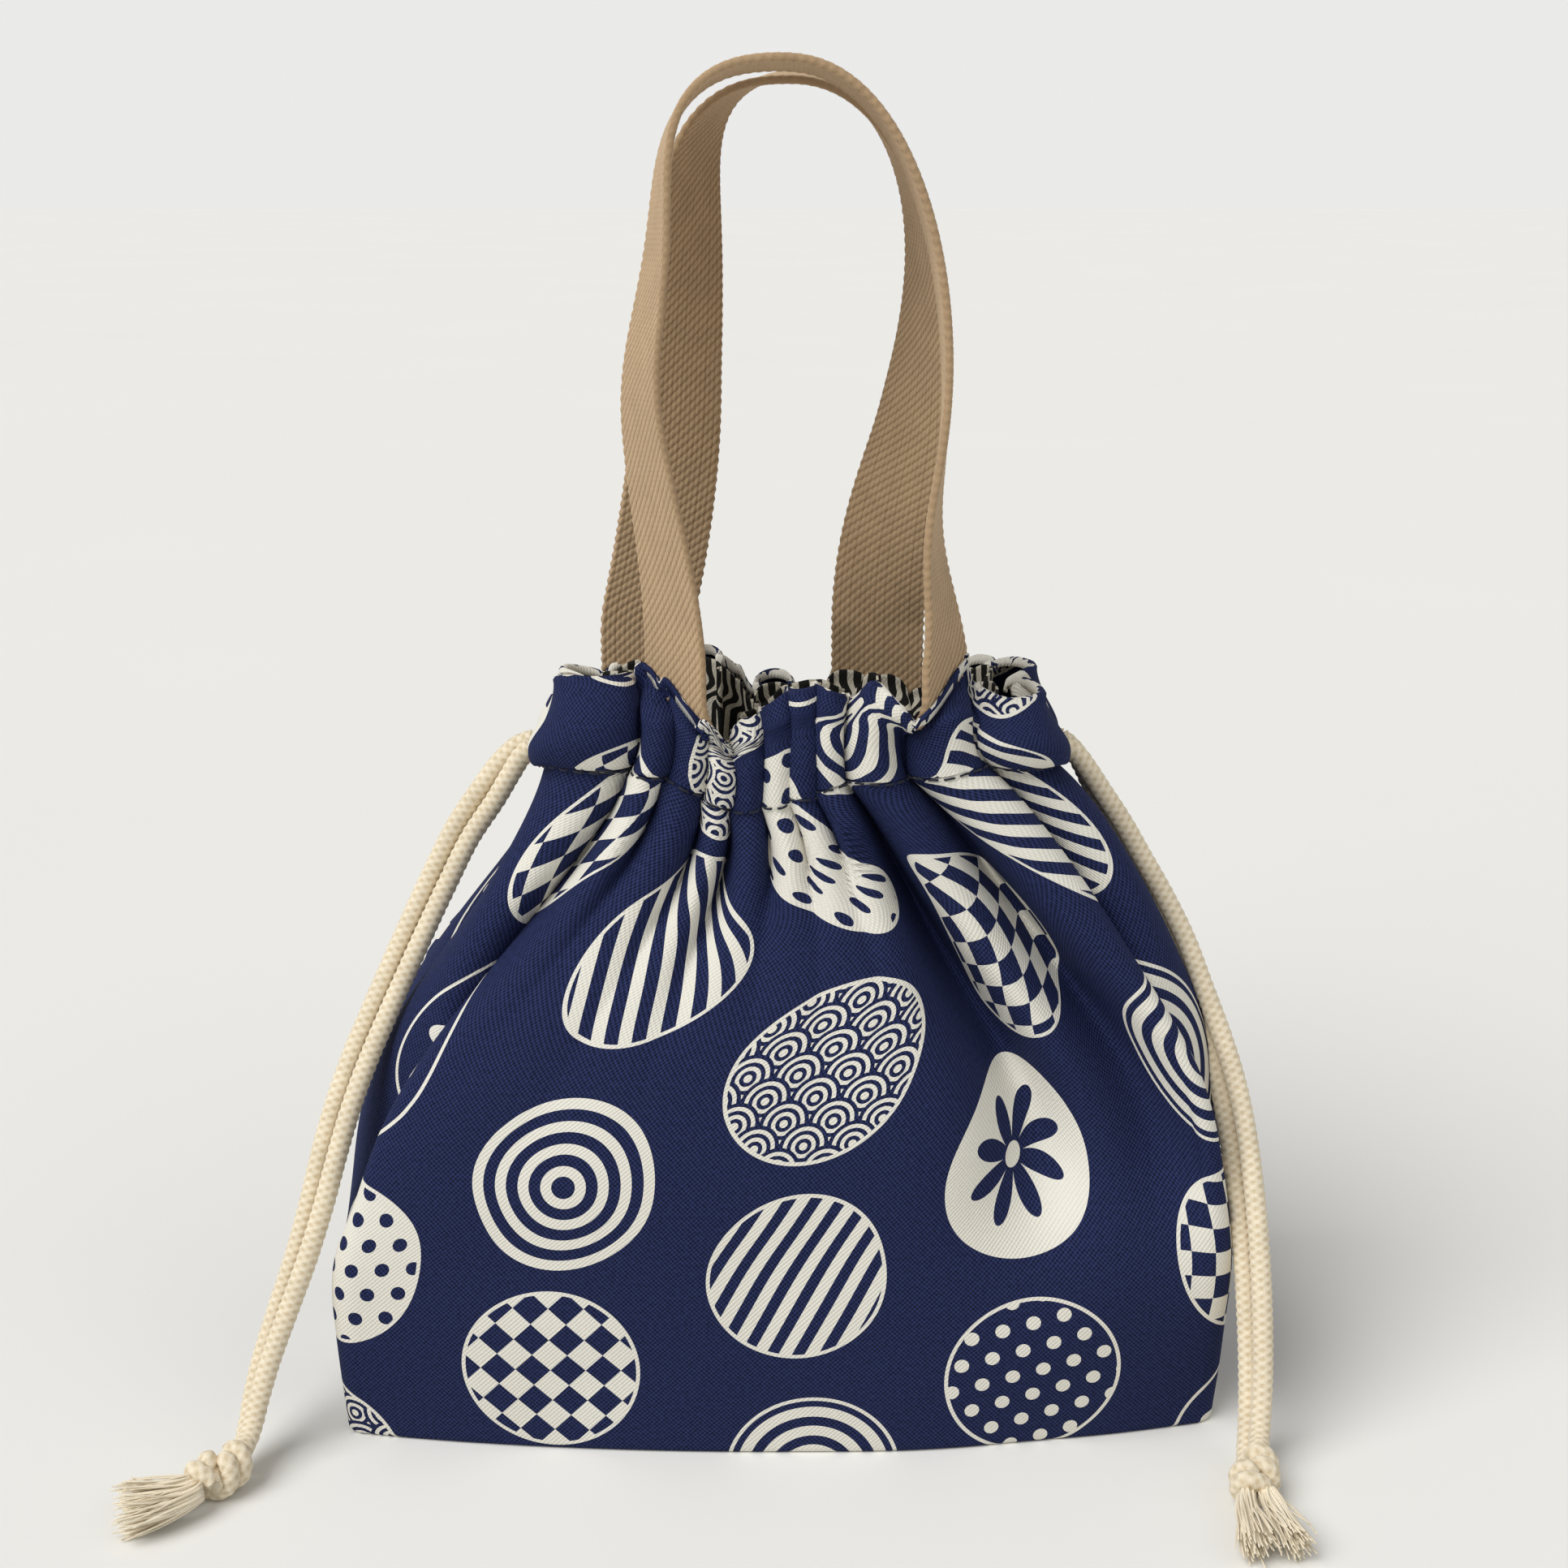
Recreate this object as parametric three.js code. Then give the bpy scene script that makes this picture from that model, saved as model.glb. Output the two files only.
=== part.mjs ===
// Gathered lunch bag: a boxed canvas outer with a lining, two webbing carry handles sewn
// into the rim, and two drawcords that run round the mouth in a stitched casing.
// Millimetres, +Z up, front at -Y, origin on the floor under the middle of the base.
import * as THREE from "three";

// Boxed body
const BASE_WIDTH = 230;
const BASE_DEPTH = 122;
const BASE_CORNER_RADIUS = 17;
const BASE_EDGE_RADIUS = 3;
const WALL_BULGE = 3;
const WIDTH_DRAW_IN_POWER = 3.5;
const DEPTH_DRAW_IN_POWER = 2.4;

// Gathered neck and casing
const NECK_WIDTH = 116;
const NECK_DEPTH = 48;
const NECK_CORNER_RADIUS = 16;
const NECK_SHIFT = 4.5;
const SHOULDER_SLUMP = 5;
const SLUMP_POWER = 6;
const STITCH_HEIGHT = 169;
const RIM_HEIGHT = 195;
const CASING_PUFF = 10;
const PLEAT_DEPTH = 4;
const PLEAT_FADE_POWER = 8;
const CORD_SLIT_WIDTH = 23;

// Folds of the gathered cloth: place along the half mouth from the left seam, share of the full
// depth, and how far the fold runs down from the stitch line
const FRONT_FOLDS = [
  [0, 0.5, 55], [31, 1.05, 88], [40, 0.85, 17], [50.6, 0.9, 22], [57, 1.05, 27], [66, 0.9, 18],
  [73, 0.85, 14], [80.3, 0.8, 15], [88.5, 1.1, 92], [103, 1.05, 80], [124.3, 1, 44], [150.3, 0.5, 55],
];
const BACK_FOLDS = [
  [0, 0.5, 55], [22, 0.9, 46], [34, 0.8, 18], [44, 1.05, 84], [54, 0.85, 20], [64, 0.9, 26],
  [74, 1.1, 92], [84, 0.8, 16], [95, 0.9, 30], [106, 1.05, 78], [117, 0.85, 20], [130, 0.9, 40],
  [150.3, 0.5, 55],
];
const FOLD_SPREAD = 5;
const FOLD_SPREAD_GROWTH = 0.145;
const FOLD_SHARPNESS = 1.7;
const FOLD_CLOTH_RUN = 23;
const GATHER_START_HEIGHT = 75;

// Body levels: height as a share of the stitch height, and the depth of a full fold there
const BODY_LEVELS = [
  [0, 0], [0.03, 0], [0.2, 6], [0.4, 13], [0.56, 12.5], [0.74, 7], [0.84, 9.5], [0.93, 7.5], [1, 2],
];

// Cloth
const OUTER_THICKNESS = 1.6;
const LINING_THICKNESS = 0.7;
const CLOTH_GAP = 0.5;
const SEAM_GAP = 0.3;
const CLEARANCE = 0.3;

// Webbing handles
const STRAP_WIDTH = 25;
const STRAP_THICKNESS = 2;
const LOOP_TOP_HEIGHT = 350;
const LOOP_WIDEST_HEIGHT = 266;
const FRONT_HANDLE = {
  loopWidth: 83, loopMiddle: 1, left: { foot: -28, twistPower: 4.5 }, right: { foot: 39, twistPower: 5.5 },
};
const BACK_HANDLE = {
  loopWidth: 74, loopMiddle: 4, left: { foot: -35, twistPower: 1.2 }, right: { foot: 27, twistPower: 2.2 },
};
const FOOT_SWEEP_HEIGHT = 80;
const FLAT_FOOT_HEIGHT = 7;
const TAB_DEPTH = 9;
const TAB_STAND = 8;

// Drawcords
const CORD_DIAMETER = 5.5;
const CORD_PAIR_GAP = 0.6;
const LEFT_CORD_HEIGHT = 176;
const RIGHT_CORD_HEIGHT = 182.2;
const EXIT_BEND_RADIUS = 11.5;
const KNOT_LENGTH = 18;
const KNOT_DIAMETER = 17;
const KNOT_WAIST_DIAMETER = 15;
const KNOT_ROUNDING = 2.5;
const KNOT_SHOULDER = 0.8;
const TASSEL_NECK_LENGTH = 6.4;
const TASSEL_FRAY_LENGTH = 9.6;
const TASSEL_END_DIAMETER = 14;

// Middle line of each pair of free strands, from the casing to the knot on the floor
const LEFT_CORD_ROUTE = [
  [-65.8, 0, 176], [-69.8, 0, 174.4], [-74, -0.5, 169.4], [-78.8, -1.8, 161.6], [-84, -4, 151.7],
  [-89.8, -7.5, 140.5], [-95.8, -12, 129.5], [-101.4, -17, 118.6], [-106.6, -22, 109], [-111.6, -28, 98],
  [-115.4, -34, 87], [-117.5, -39.5, 76], [-120, -44.6, 65], [-122.8, -49.5, 51], [-126, -53.5, 37.5],
  [-129, -57.3, 26], [-131.5, -61, 17.3], [-133.9, -65, 11.8], [-136.2, -69, 9.5], [-138, -72.3, 9.2],
];
const RIGHT_CORD_ROUTE = [
  [74.8, 0, 182.2], [78.8, 0, 180.2], [82.4, -0.5, 175], [86.2, -1.8, 166.8], [91.4, -4, 157],
  [97.8, -7.5, 146.3], [104.6, -12, 135.2], [110.3, -17.5, 124], [114.6, -23, 112.6], [117.7, -28.5, 101],
  [119.8, -34, 90], [121.8, -40, 78], [123.2, -45.6, 66], [123.9, -50.6, 53], [124.2, -55, 39.5],
  [124.2, -58.5, 27], [123.8, -62, 17.7], [123, -66.2, 12], [122.1, -70.6, 9.6], [121.4, -74.4, 9.2],
];
const LEFT_KNOT_HEADING = [-0.5, -0.86, -0.05];
const LEFT_TASSEL_HEADING = [-0.96, -0.28, -0.05];
const RIGHT_KNOT_HEADING = [-0.13, -0.99, -0.05];
const RIGHT_TASSEL_HEADING = [0.12, -0.99, -0.05];
const LEFT_PAIR_END_ANGLE = -30;
const RIGHT_PAIR_END_ANGLE = -187;

// Facets
const STEPS_PER_FOLD = 4;
const CASING_LEVELS = [0.16, 0.38, 0.62, 0.84, 1];
const LEG_STEPS = 8;
const ARCH_STEPS = 22;
const TAB_STEPS = 6;
const CORD_SIDES = 8;
const CASING_RUN_STEPS = 72;
const ARC_STEPS = 6;
const ROUND_SIDES = 16;
const TASSEL_STEPS = 5;
const ROUNDING_TURNS = [45, 75].map((angle) => THREE.MathUtils.degToRad(angle));

const half = (size) => size / 2;
const lerp = THREE.MathUtils.lerp;
const smooth = (t) => t * t * (3 - 2 * t);
const strandOffset = half(CORD_DIAMETER + CORD_PAIR_GAP);
const liningInset = OUTER_THICKNESS + CLOTH_GAP;
const rimGap = STRAP_THICKNESS + 2 * CLEARANCE;
const hingeHeight = RIM_HEIGHT + TAB_STAND + CLEARANCE + half(STRAP_THICKNESS);
const strapPlaneDepth = half(NECK_DEPTH) - liningInset + CLEARANCE + half(STRAP_THICKNESS);

const canvas = new THREE.MeshStandardMaterial({ color: 0x2b3566, roughness: 0.85, metalness: 0 });
const liningCotton = new THREE.MeshStandardMaterial({ color: 0x5c544c, roughness: 0.9, metalness: 0 });
const webbing = new THREE.MeshStandardMaterial({ color: 0xb18e6b, roughness: 0.8, metalness: 0 });
const cottonCord = new THREE.MeshStandardMaterial({ color: 0xe0cfae, roughness: 0.9, metalness: 0 });

// Rounded rectangle of the bag at a height: full at the base, swelling a little, then
// drawn in to the neck.
function bodySection(z) {
  const t = Math.min(z / STITCH_HEIGHT, 1);
  const swell = WALL_BULGE * Math.sin(Math.PI * t);
  const inset = z < BASE_EDGE_RADIUS
    ? BASE_EDGE_RADIUS - Math.sqrt(BASE_EDGE_RADIUS ** 2 - (BASE_EDGE_RADIUS - z) ** 2)
    : 0;
  return {
    halfWidth: half(lerp(BASE_WIDTH, NECK_WIDTH, t ** WIDTH_DRAW_IN_POWER)) + swell - inset,
    halfDepth: half(lerp(BASE_DEPTH, NECK_DEPTH, t ** DEPTH_DRAW_IN_POWER)) + swell - inset,
    radius: lerp(BASE_CORNER_RADIUS, NECK_CORNER_RADIUS, t) - inset,
  };
}

// How far the section's middle has moved to the right: the gathered neck sits off centre,
// and the shoulder below it slumps the same way.
function sideShift(z) {
  const t = Math.min(z / STITCH_HEIGHT, 1);
  const peak = SLUMP_POWER / (SLUMP_POWER + 1);
  const slump = t ** SLUMP_POWER * (1 - t) / (peak ** SLUMP_POWER * (1 - peak));
  return NECK_SHIFT * t ** 2 + SHOULDER_SLUMP * slump;
}

// Point and outward direction on the front half of a section, from the left side seam
// (fraction 0) round the front to the right one (fraction 1).
function outlinePoint({ halfWidth, halfDepth, radius }, seamOpening, fraction) {
  const side = halfDepth - radius;
  const arc = radius * Math.PI / 2;
  const quarter = side + arc + halfWidth - radius;
  const seam = half(seamOpening);
  const start = seam <= side ? seam : side + radius * Math.asin((seam - side) / radius);
  const along = lerp(start, 2 * quarter - start, fraction);
  const mirror = along > quarter ? -1 : 1;
  const s = mirror < 0 ? 2 * quarter - along : along;
  if (s <= side) {
    return { x: -halfWidth * mirror, y: -s, nx: -mirror, ny: 0 };
  }
  if (s <= side + arc) {
    const angle = (s - side) / radius;
    const nx = -Math.cos(angle);
    const ny = -Math.sin(angle);
    return { x: (radius - halfWidth + radius * nx) * mirror, y: -side + radius * ny, nx: nx * mirror, ny };
  }
  return { x: (s - quarter) * mirror, y: -halfDepth, nx: 0, ny: -1 };
}

// Columns of one gathered panel: where each lies on the flat cloth and along the half mouth.
// A cell between two folds takes more cloth the wider it is.
function gatheredColumns(folds) {
  const columns = [];
  const valleys = [0];
  for (let i = 0; i + 1 < folds.length; i += 1) {
    const [from] = folds[i];
    const [to] = folds[i + 1];
    const run = Math.hypot(to - from, FOLD_CLOTH_RUN);
    const start = valleys[i];
    valleys.push(start + run);
    for (let step = i === 0 ? 0 : 1; step <= STEPS_PER_FOLD; step += 1) {
      const t = step / STEPS_PER_FOLD;
      columns.push({ flat: start + run * t, mouth: lerp(from, to, t) });
    }
  }
  const flatWidth = valleys[folds.length - 1];
  const mouthWidth = folds[folds.length - 1][0];
  const clothWidth = BASE_WIDTH + BASE_DEPTH - (4 - Math.PI) * BASE_CORNER_RADIUS;
  const scale = clothWidth / flatWidth;
  return {
    folds,
    valleys: valleys.map((v) => v * scale),
    columns: columns.map(({ flat, mouth }) => ({
      flat: flat * scale, even: flat / flatWidth, drawn: mouth / mouthWidth,
    })),
  };
}

const bell = (distance, spread) => 1 / (1 + (distance / spread) ** 2) ** FOLD_SHARPNESS;

// How far each column of a row lies inside the crests: a few long folds run down the shoulder,
// short ones stop below the stitch line, and all of them are shallow at the neck.
function foldDepths({ folds, valleys, columns }, { z, foldDepth }) {
  const drop = Math.max(STITCH_HEIGHT - z, 0);
  const spread = FOLD_SPREAD + FOLD_SPREAD_GROWTH * drop;
  return columns.map(({ flat }) => folds.reduce((sum, [, share, reach], k) => (
    sum + foldDepth * share * Math.exp(-((drop / reach) ** 2)) * bell(flat - valleys[k], spread)
  ), 0));
}

// How far the outer cloth stands off its plain section in each column: folds below the stitch
// line, pleats that grow towards it, and the puff of the casing above it.
function outerStandOff(gathers, row) {
  const { z } = row;
  const growth = Math.min(z / STITCH_HEIGHT, 1) ** PLEAT_FADE_POWER;
  const rise = Math.max(0, (z - STITCH_HEIGHT) / (RIM_HEIGHT - STITCH_HEIGHT));
  const puff = (rimGap - CLOTH_GAP) * rise + CASING_PUFF * Math.sin(Math.PI * rise);
  const depths = foldDepths(gathers, row);
  return gathers.columns.map(({ flat }, i) => {
    const folded = gathers.valleys.reduce((sum, v) => sum + bell(flat - v, FOLD_SPREAD), 0);
    const pleat = PLEAT_DEPTH * growth * (1 - Math.min(folded, 1));
    return pleat + puff - depths[i];
  });
}

// One open ring of points on the front half, at a height and with a stand-off for each column
function ring(gathers, z, seamOpening, standOff, sectionHeight = z) {
  const section = bodySection(sectionHeight);
  const shift = sideShift(sectionHeight);
  const above = (sectionHeight - GATHER_START_HEIGHT) / (STITCH_HEIGHT - GATHER_START_HEIGHT);
  const gathered = smooth(THREE.MathUtils.clamp(above, 0, 1));
  return gathers.columns.map(({ even, drawn }, i) => {
    const p = outlinePoint(section, seamOpening, lerp(even, drawn, gathered));
    return new THREE.Vector3(shift + p.x + p.nx * standOff[i], p.y + p.ny * standOff[i], z);
  });
}

// Closed solid from a list of points and triangles
function solid(points, triangles) {
  const geometry = new THREE.BufferGeometry();
  geometry.setFromPoints(points);
  geometry.setIndex(triangles);
  geometry.computeVertexNormals();
  return geometry;
}

// Half of the bag as one cloth shell: wall rings outside and inside, a flat base, the rim,
// and the cut edges at the side seams and along the middle of the base.
function panelShell(outerRings, innerRings, side) {
  const columns = outerRings[0].length;
  const levels = outerRings.length;
  const points = [...outerRings.flat(), ...innerRings.flat()];
  const outer = (level, column) => level * columns + column;
  const inner = (level, column) => (levels + level) * columns + column;
  const last = columns - 1;
  const top = levels - 1;
  const triangles = [];
  const quad = (a, b, c, d) => triangles.push(a, b, c, a, c, d);
  for (let k = 0; k < top; k += 1) {
    for (let i = 0; i < last; i += 1) {
      quad(outer(k, i), outer(k, i + 1), outer(k + 1, i + 1), outer(k + 1, i));
      quad(inner(k, i), inner(k + 1, i), inner(k + 1, i + 1), inner(k, i + 1));
    }
    quad(inner(k, 0), outer(k, 0), outer(k + 1, 0), inner(k + 1, 0));
    quad(outer(k, last), inner(k, last), inner(k + 1, last), outer(k + 1, last));
  }
  for (let i = 0; i < last; i += 1) {
    quad(outer(top, i), outer(top, i + 1), inner(top, i + 1), inner(top, i));
  }
  quad(outer(0, last), outer(0, 0), inner(0, 0), inner(0, last));
  const floorFaces = (cornerRing, index, up) => {
    const contour = cornerRing.map((p) => new THREE.Vector2(p.x, p.y));
    const faces = THREE.ShapeUtils.triangulateShape(contour, []);
    for (const [a, b, c] of faces) {
      const area = contour[b].clone().sub(contour[a]).cross(contour[c].clone().sub(contour[a]));
      triangles.push(...((area > 0) === up ? [a, b, c] : [a, c, b]).map((i) => index(0, i)));
    }
  };
  floorFaces(outerRings[0], outer, false);
  floorFaces(innerRings[0], inner, true);
  return facing(points, triangles, side);
}

// Front pieces are drawn as they are; back pieces are their mirror image in Y
function facing(points, triangles, side) {
  if (side === "front") {
    return solid(points, triangles);
  }
  const mirrored = points.map((p) => new THREE.Vector3(p.x, -p.y, p.z));
  const turned = [];
  for (let i = 0; i < triangles.length; i += 3) {
    turned.push(triangles[i], triangles[i + 2], triangles[i + 1]);
  }
  return solid(mirrored, turned);
}

const bodyRows = () => BODY_LEVELS.map(([level, foldDepth]) => ({ z: level * STITCH_HEIGHT, foldDepth }));
const casingRow = (level) => ({ z: lerp(STITCH_HEIGHT, RIM_HEIGHT, level), foldDepth: 0 });

// Outer panel: half of the base and one wall, with the side seams left open in the casing
function outerPanel(gathers, side) {
  const rows = [...bodyRows(), ...CASING_LEVELS.map(casingRow)];
  const opening = (z) => (z > STITCH_HEIGHT && z < RIM_HEIGHT ? CORD_SLIT_WIDTH : SEAM_GAP);
  const face = (inset) => rows.map((row) => ring(
    gathers, Math.max(row.z, inset), opening(row.z),
    outerStandOff(gathers, row).map((off) => off - inset), row.z,
  ));
  return panelShell(face(0), face(OUTER_THICKNESS), side);
}

// Lining panel: the same folds one cloth thickness further in, and plain behind the casing
function liningPanel(gathers, side) {
  const rows = [...bodyRows(), casingRow(1)];
  const face = (inset) => rows.map((row) => ring(
    gathers, Math.max(row.z, inset), SEAM_GAP,
    foldDepths(gathers, row).map((depth) => -depth - inset), row.z,
  ));
  return panelShell(face(liningInset), face(liningInset + LINING_THICKNESS), side);
}

// Closed solid through a row of rings that have the same number of points
function loftedBar(rings, side) {
  const count = rings[0].length;
  const points = rings.flat();
  const triangles = [];
  const at = (row, corner) => row * count + (corner % count);
  for (let row = 0; row + 1 < rings.length; row += 1) {
    for (let c = 0; c < count; c += 1) {
      triangles.push(at(row, c), at(row, c + 1), at(row + 1, c + 1));
      triangles.push(at(row, c), at(row + 1, c + 1), at(row + 1, c));
    }
  }
  const end = rings.length - 1;
  for (let c = 1; c + 1 < count; c += 1) {
    triangles.push(at(0, 0), at(0, c + 1), at(0, c));
    triangles.push(at(end, 0), at(end, c), at(end, c + 1));
  }
  return facing(points, triangles, side);
}

// Sewn-in end of a strap: it stands between the outer and the lining, follows the rim and
// comes a little above it, to a rounded top.
function handleTab(foot, side) {
  const neck = bodySection(STITCH_HEIGHT);
  const near = -liningInset + CLEARANCE;
  const bottom = RIM_HEIGHT - TAB_DEPTH;
  const top = RIM_HEIGHT + TAB_STAND;
  const round = half(STRAP_THICKNESS);
  const crownTurns = [0, ...ROUNDING_TURNS, ...ROUNDING_TURNS.map((a) => Math.PI - a).reverse(), Math.PI];
  const straightStart = neck.radius * Math.PI / 2 + neck.halfDepth - neck.radius;
  const quarter = straightStart + neck.halfWidth - neck.radius;
  const rings = Array.from({ length: TAB_STEPS + 1 }, (_, i) => {
    const along = quarter + foot - NECK_SHIFT + STRAP_WIDTH * (i / TAB_STEPS - 0.5);
    const p = outlinePoint(neck, 0, along / (2 * quarter));
    const point = (off, z) => new THREE.Vector3(NECK_SHIFT + p.x + p.nx * off, p.y + p.ny * off, z);
    const far = near + STRAP_THICKNESS;
    const crown = crownTurns.map((angle) => point(
      near + round * (1 - Math.cos(angle)), top - round * (1 - Math.sin(angle)),
    ));
    return [point(near, bottom), ...crown, point(far, bottom)];
  });
  return loftedBar(rings, side);
}

// Middle line of a handle in its own leaning plane: sideways, up from the hinge line, and how
// far the strap has turned. The strap's outer edge follows straight legs and a half ellipse;
// a higher twist power turns a leg edge-on sooner.
function handleLine(handle) {
  const rise = LOOP_TOP_HEIGHT - hingeHeight;
  const widest = LOOP_WIDEST_HEIGHT - hingeHeight;
  const reach = half(handle.loopWidth);
  const flatReach = reach - half(STRAP_WIDTH);
  const place = (sign, edgeX, edgeH, outX, outH) => {
    const { foot, twistPower } = sign < 0 ? handle.left : handle.right;
    const turned = Math.max(edgeH - FLAT_FOOT_HEIGHT, 0) / (rise - FLAT_FOOT_HEIGHT);
    const twist = half(Math.PI) * (1 - (1 - turned) ** twistPower);
    const inset = half(STRAP_WIDTH) * Math.cos(twist) + half(STRAP_THICKNESS) * Math.sin(twist);
    const sweep = smooth(Math.min(edgeH / FOOT_SWEEP_HEIGHT, 1));
    const footShift = (foot - handle.loopMiddle - sign * flatReach) * (1 - sweep);
    return { x: handle.loopMiddle + edgeX - outX * inset + footShift, h: edgeH - outH * inset, twist };
  };
  const leg = (sign) => Array.from({ length: LEG_STEPS }, (_, i) => place(
    sign, sign * reach, widest * i / LEG_STEPS, sign, 0,
  ));
  const arch = Array.from({ length: ARCH_STEPS + 1 }, (_, i) => {
    const angle = Math.PI * (1 - i / ARCH_STEPS);
    const out = new THREE.Vector2(Math.cos(angle) / reach, Math.sin(angle) / (rise - widest)).normalize();
    const sign = angle > half(Math.PI) ? -1 : 1;
    const edgeH = widest + (rise - widest) * Math.sin(angle);
    return place(sign, reach * Math.cos(angle), edgeH, out.x, out.y);
  });
  return { line: [...leg(-1), ...arch, ...leg(1).reverse()], rise };
}

// Webbing handle: the strap lies flat along the rim at its feet and turns a quarter of the
// way round up each leg, so that it crosses the top edge-on to the front.
function handleStrap(handle, side) {
  const { line, rise } = handleLine(handle);
  const topDepth = half(STRAP_WIDTH + SEAM_GAP);
  const lean = new THREE.Vector3(0, strapPlaneDepth - topDepth, rise).normalize();
  const across = new THREE.Vector3(1, 0, 0);
  const forward = new THREE.Vector3().crossVectors(across, lean);
  const foot = new THREE.Vector3(0, -strapPlaneDepth, hingeHeight);
  const centre = line.map(({ x, h }) => foot.clone().addScaledVector(across, x).addScaledVector(lean, h));
  const rings = centre.map((point, i) => {
    const before = centre[Math.max(i - 1, 0)];
    const after = centre[Math.min(i + 1, centre.length - 1)];
    const atFoot = i === 0 || i === centre.length - 1;
    const tangent = atFoot
      ? lean.clone().multiplyScalar(i === 0 ? 1 : -1)
      : after.clone().sub(before).normalize();
    const { twist } = line[i];
    const inward = new THREE.Vector3().crossVectors(tangent, forward);
    const wide = inward.multiplyScalar(Math.cos(twist)).addScaledVector(forward, Math.sin(twist));
    const thick = new THREE.Vector3().crossVectors(tangent, wide);
    return { point, tangent, wide, thick };
  });
  const section = ({ point, tangent, wide, thick }, back, thickness) => {
    const middle = point.clone().addScaledVector(tangent, back);
    const corner = (u, v) => middle.clone()
      .addScaledVector(wide, u * half(STRAP_WIDTH))
      .addScaledVector(thick, v * half(thickness));
    return [corner(-1, -1), corner(1, -1), corner(1, 1), corner(-1, 1)];
  };
  // each foot is rounded about the hinge line
  const round = half(STRAP_THICKNESS);
  const footSections = (frame, sign) => ROUNDING_TURNS.map((angle) => section(
    frame, sign * round * Math.sin(angle), 2 * round * Math.cos(angle),
  ));
  const first = rings[0];
  const last = rings[rings.length - 1];
  const body = rings.map((frame) => section(frame, 0, STRAP_THICKNESS));
  return loftedBar([...footSections(first, -1).reverse(), ...body, ...footSections(last, 1)], side);
}

// Round cord along a smooth line through points
function cordTube(points, steps, diameter) {
  const circle = new THREE.Shape();
  for (let i = 0; i < CORD_SIDES; i += 1) {
    const angle = 2 * Math.PI * i / CORD_SIDES;
    const x = half(diameter) * Math.cos(angle);
    const y = half(diameter) * Math.sin(angle);
    if (i === 0) circle.moveTo(x, y);
    else circle.lineTo(x, y);
  }
  circle.closePath();
  const extrudePath = new THREE.CatmullRomCurve3(points, false, "centripetal");
  return new THREE.ExtrudeGeometry(circle, { steps, extrudePath, curveSegments: 1 });
}

// Cord inside the casing: in at one slit, round the whole mouth against the lining, and
// out at the same slit. Drawn with its slit on the left.
function casingRun(height, slitSide) {
  const neck = bodySection(STITCH_HEIGHT);
  const bend = neck.radius - liningInset + CLEARANCE * 2 + half(CORD_DIAMETER);
  const cornerX = neck.halfWidth - neck.radius;
  const cornerY = neck.halfDepth - neck.radius;
  const turn = Math.acos((EXIT_BEND_RADIUS - cornerY + strandOffset) / (bend + EXIT_BEND_RADIUS));
  const exitX = -cornerX - (bend + EXIT_BEND_RADIUS) * Math.sin(turn);
  const front = [[exitX, -strandOffset]];
  const arc = (from, to, place) => {
    for (let i = 0; i <= ARC_STEPS; i += 1) {
      front.push(place(lerp(from, to, i / ARC_STEPS)));
    }
  };
  arc(0, turn, (a) => [
    exitX + EXIT_BEND_RADIUS * Math.sin(a),
    -strandOffset - EXIT_BEND_RADIUS * (1 - Math.cos(a)),
  ]);
  arc(turn * (1 - 1 / ARC_STEPS), 0, (a) => [-cornerX - bend * Math.sin(a), -cornerY - bend * Math.cos(a)]);
  front.push([0, -cornerY - bend]);
  arc(0, half(Math.PI), (a) => [cornerX + bend * Math.sin(a), -cornerY - bend * Math.cos(a)]);
  const back = front.map(([x, y]) => [x, -y]).reverse();
  const flip = slitSide === "left" ? 1 : -1;
  const loop = [...front, [cornerX + bend, 0], ...back];
  const points = loop.map(([x, y]) => new THREE.Vector3(NECK_SHIFT + flip * x, y, height));
  return cordTube(points, CASING_RUN_STEPS, CORD_DIAMETER);
}

// One free strand of a pair, beside the pair's middle line; the pair turns as it falls
function freeStrand(route, endAngle, which) {
  const sign = which === "front" ? 1 : -1;
  const points = route.map(([x, y, z], i) => {
    const angle = THREE.MathUtils.degToRad(lerp(-90, endAngle, i / (route.length - 1)));
    const off = sign * strandOffset;
    return new THREE.Vector3(x + off * Math.cos(angle), y + off * Math.sin(angle), z);
  });
  return cordTube(points, route.length - 1, CORD_DIAMETER);
}

// Round piece turned about an axis that starts at a point and runs along a heading
function turnedPiece(profile, start, heading) {
  const geometry = new THREE.LatheGeometry(profile.map(([r, h]) => new THREE.Vector2(r, h)), ROUND_SIDES);
  const turn = new THREE.Quaternion().setFromUnitVectors(new THREE.Vector3(0, 1, 0), heading);
  geometry.applyQuaternion(turn);
  geometry.translate(start.x, start.y, start.z);
  return geometry;
}

const unit = ([x, y, z]) => new THREE.Vector3(x, y, z).normalize();

// Knot that ties the two strands together, with the dip between its two turns
function knotPiece(route, knotHeading) {
  const heading = unit(knotHeading);
  const start = new THREE.Vector3(...route[route.length - 1]).addScaledVector(heading, CLEARANCE);
  const radius = half(KNOT_DIAMETER);
  const face = strandOffset + half(CORD_DIAMETER) + CLEARANCE;
  const shoulder = lerp(face, radius, KNOT_SHOULDER);
  const nearEnd = [[0, 0], [face, 0], [shoulder, KNOT_ROUNDING], [radius, 2 * KNOT_ROUNDING]];
  const farEnd = nearEnd.map(([r, h]) => [r, KNOT_LENGTH - h]).reverse();
  const profile = [...nearEnd, [half(KNOT_WAIST_DIAMETER), half(KNOT_LENGTH)], ...farEnd];
  const end = start.clone().addScaledVector(heading, KNOT_LENGTH + CLEARANCE);
  return { geometry: turnedPiece(profile, start, heading), end };
}

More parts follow.
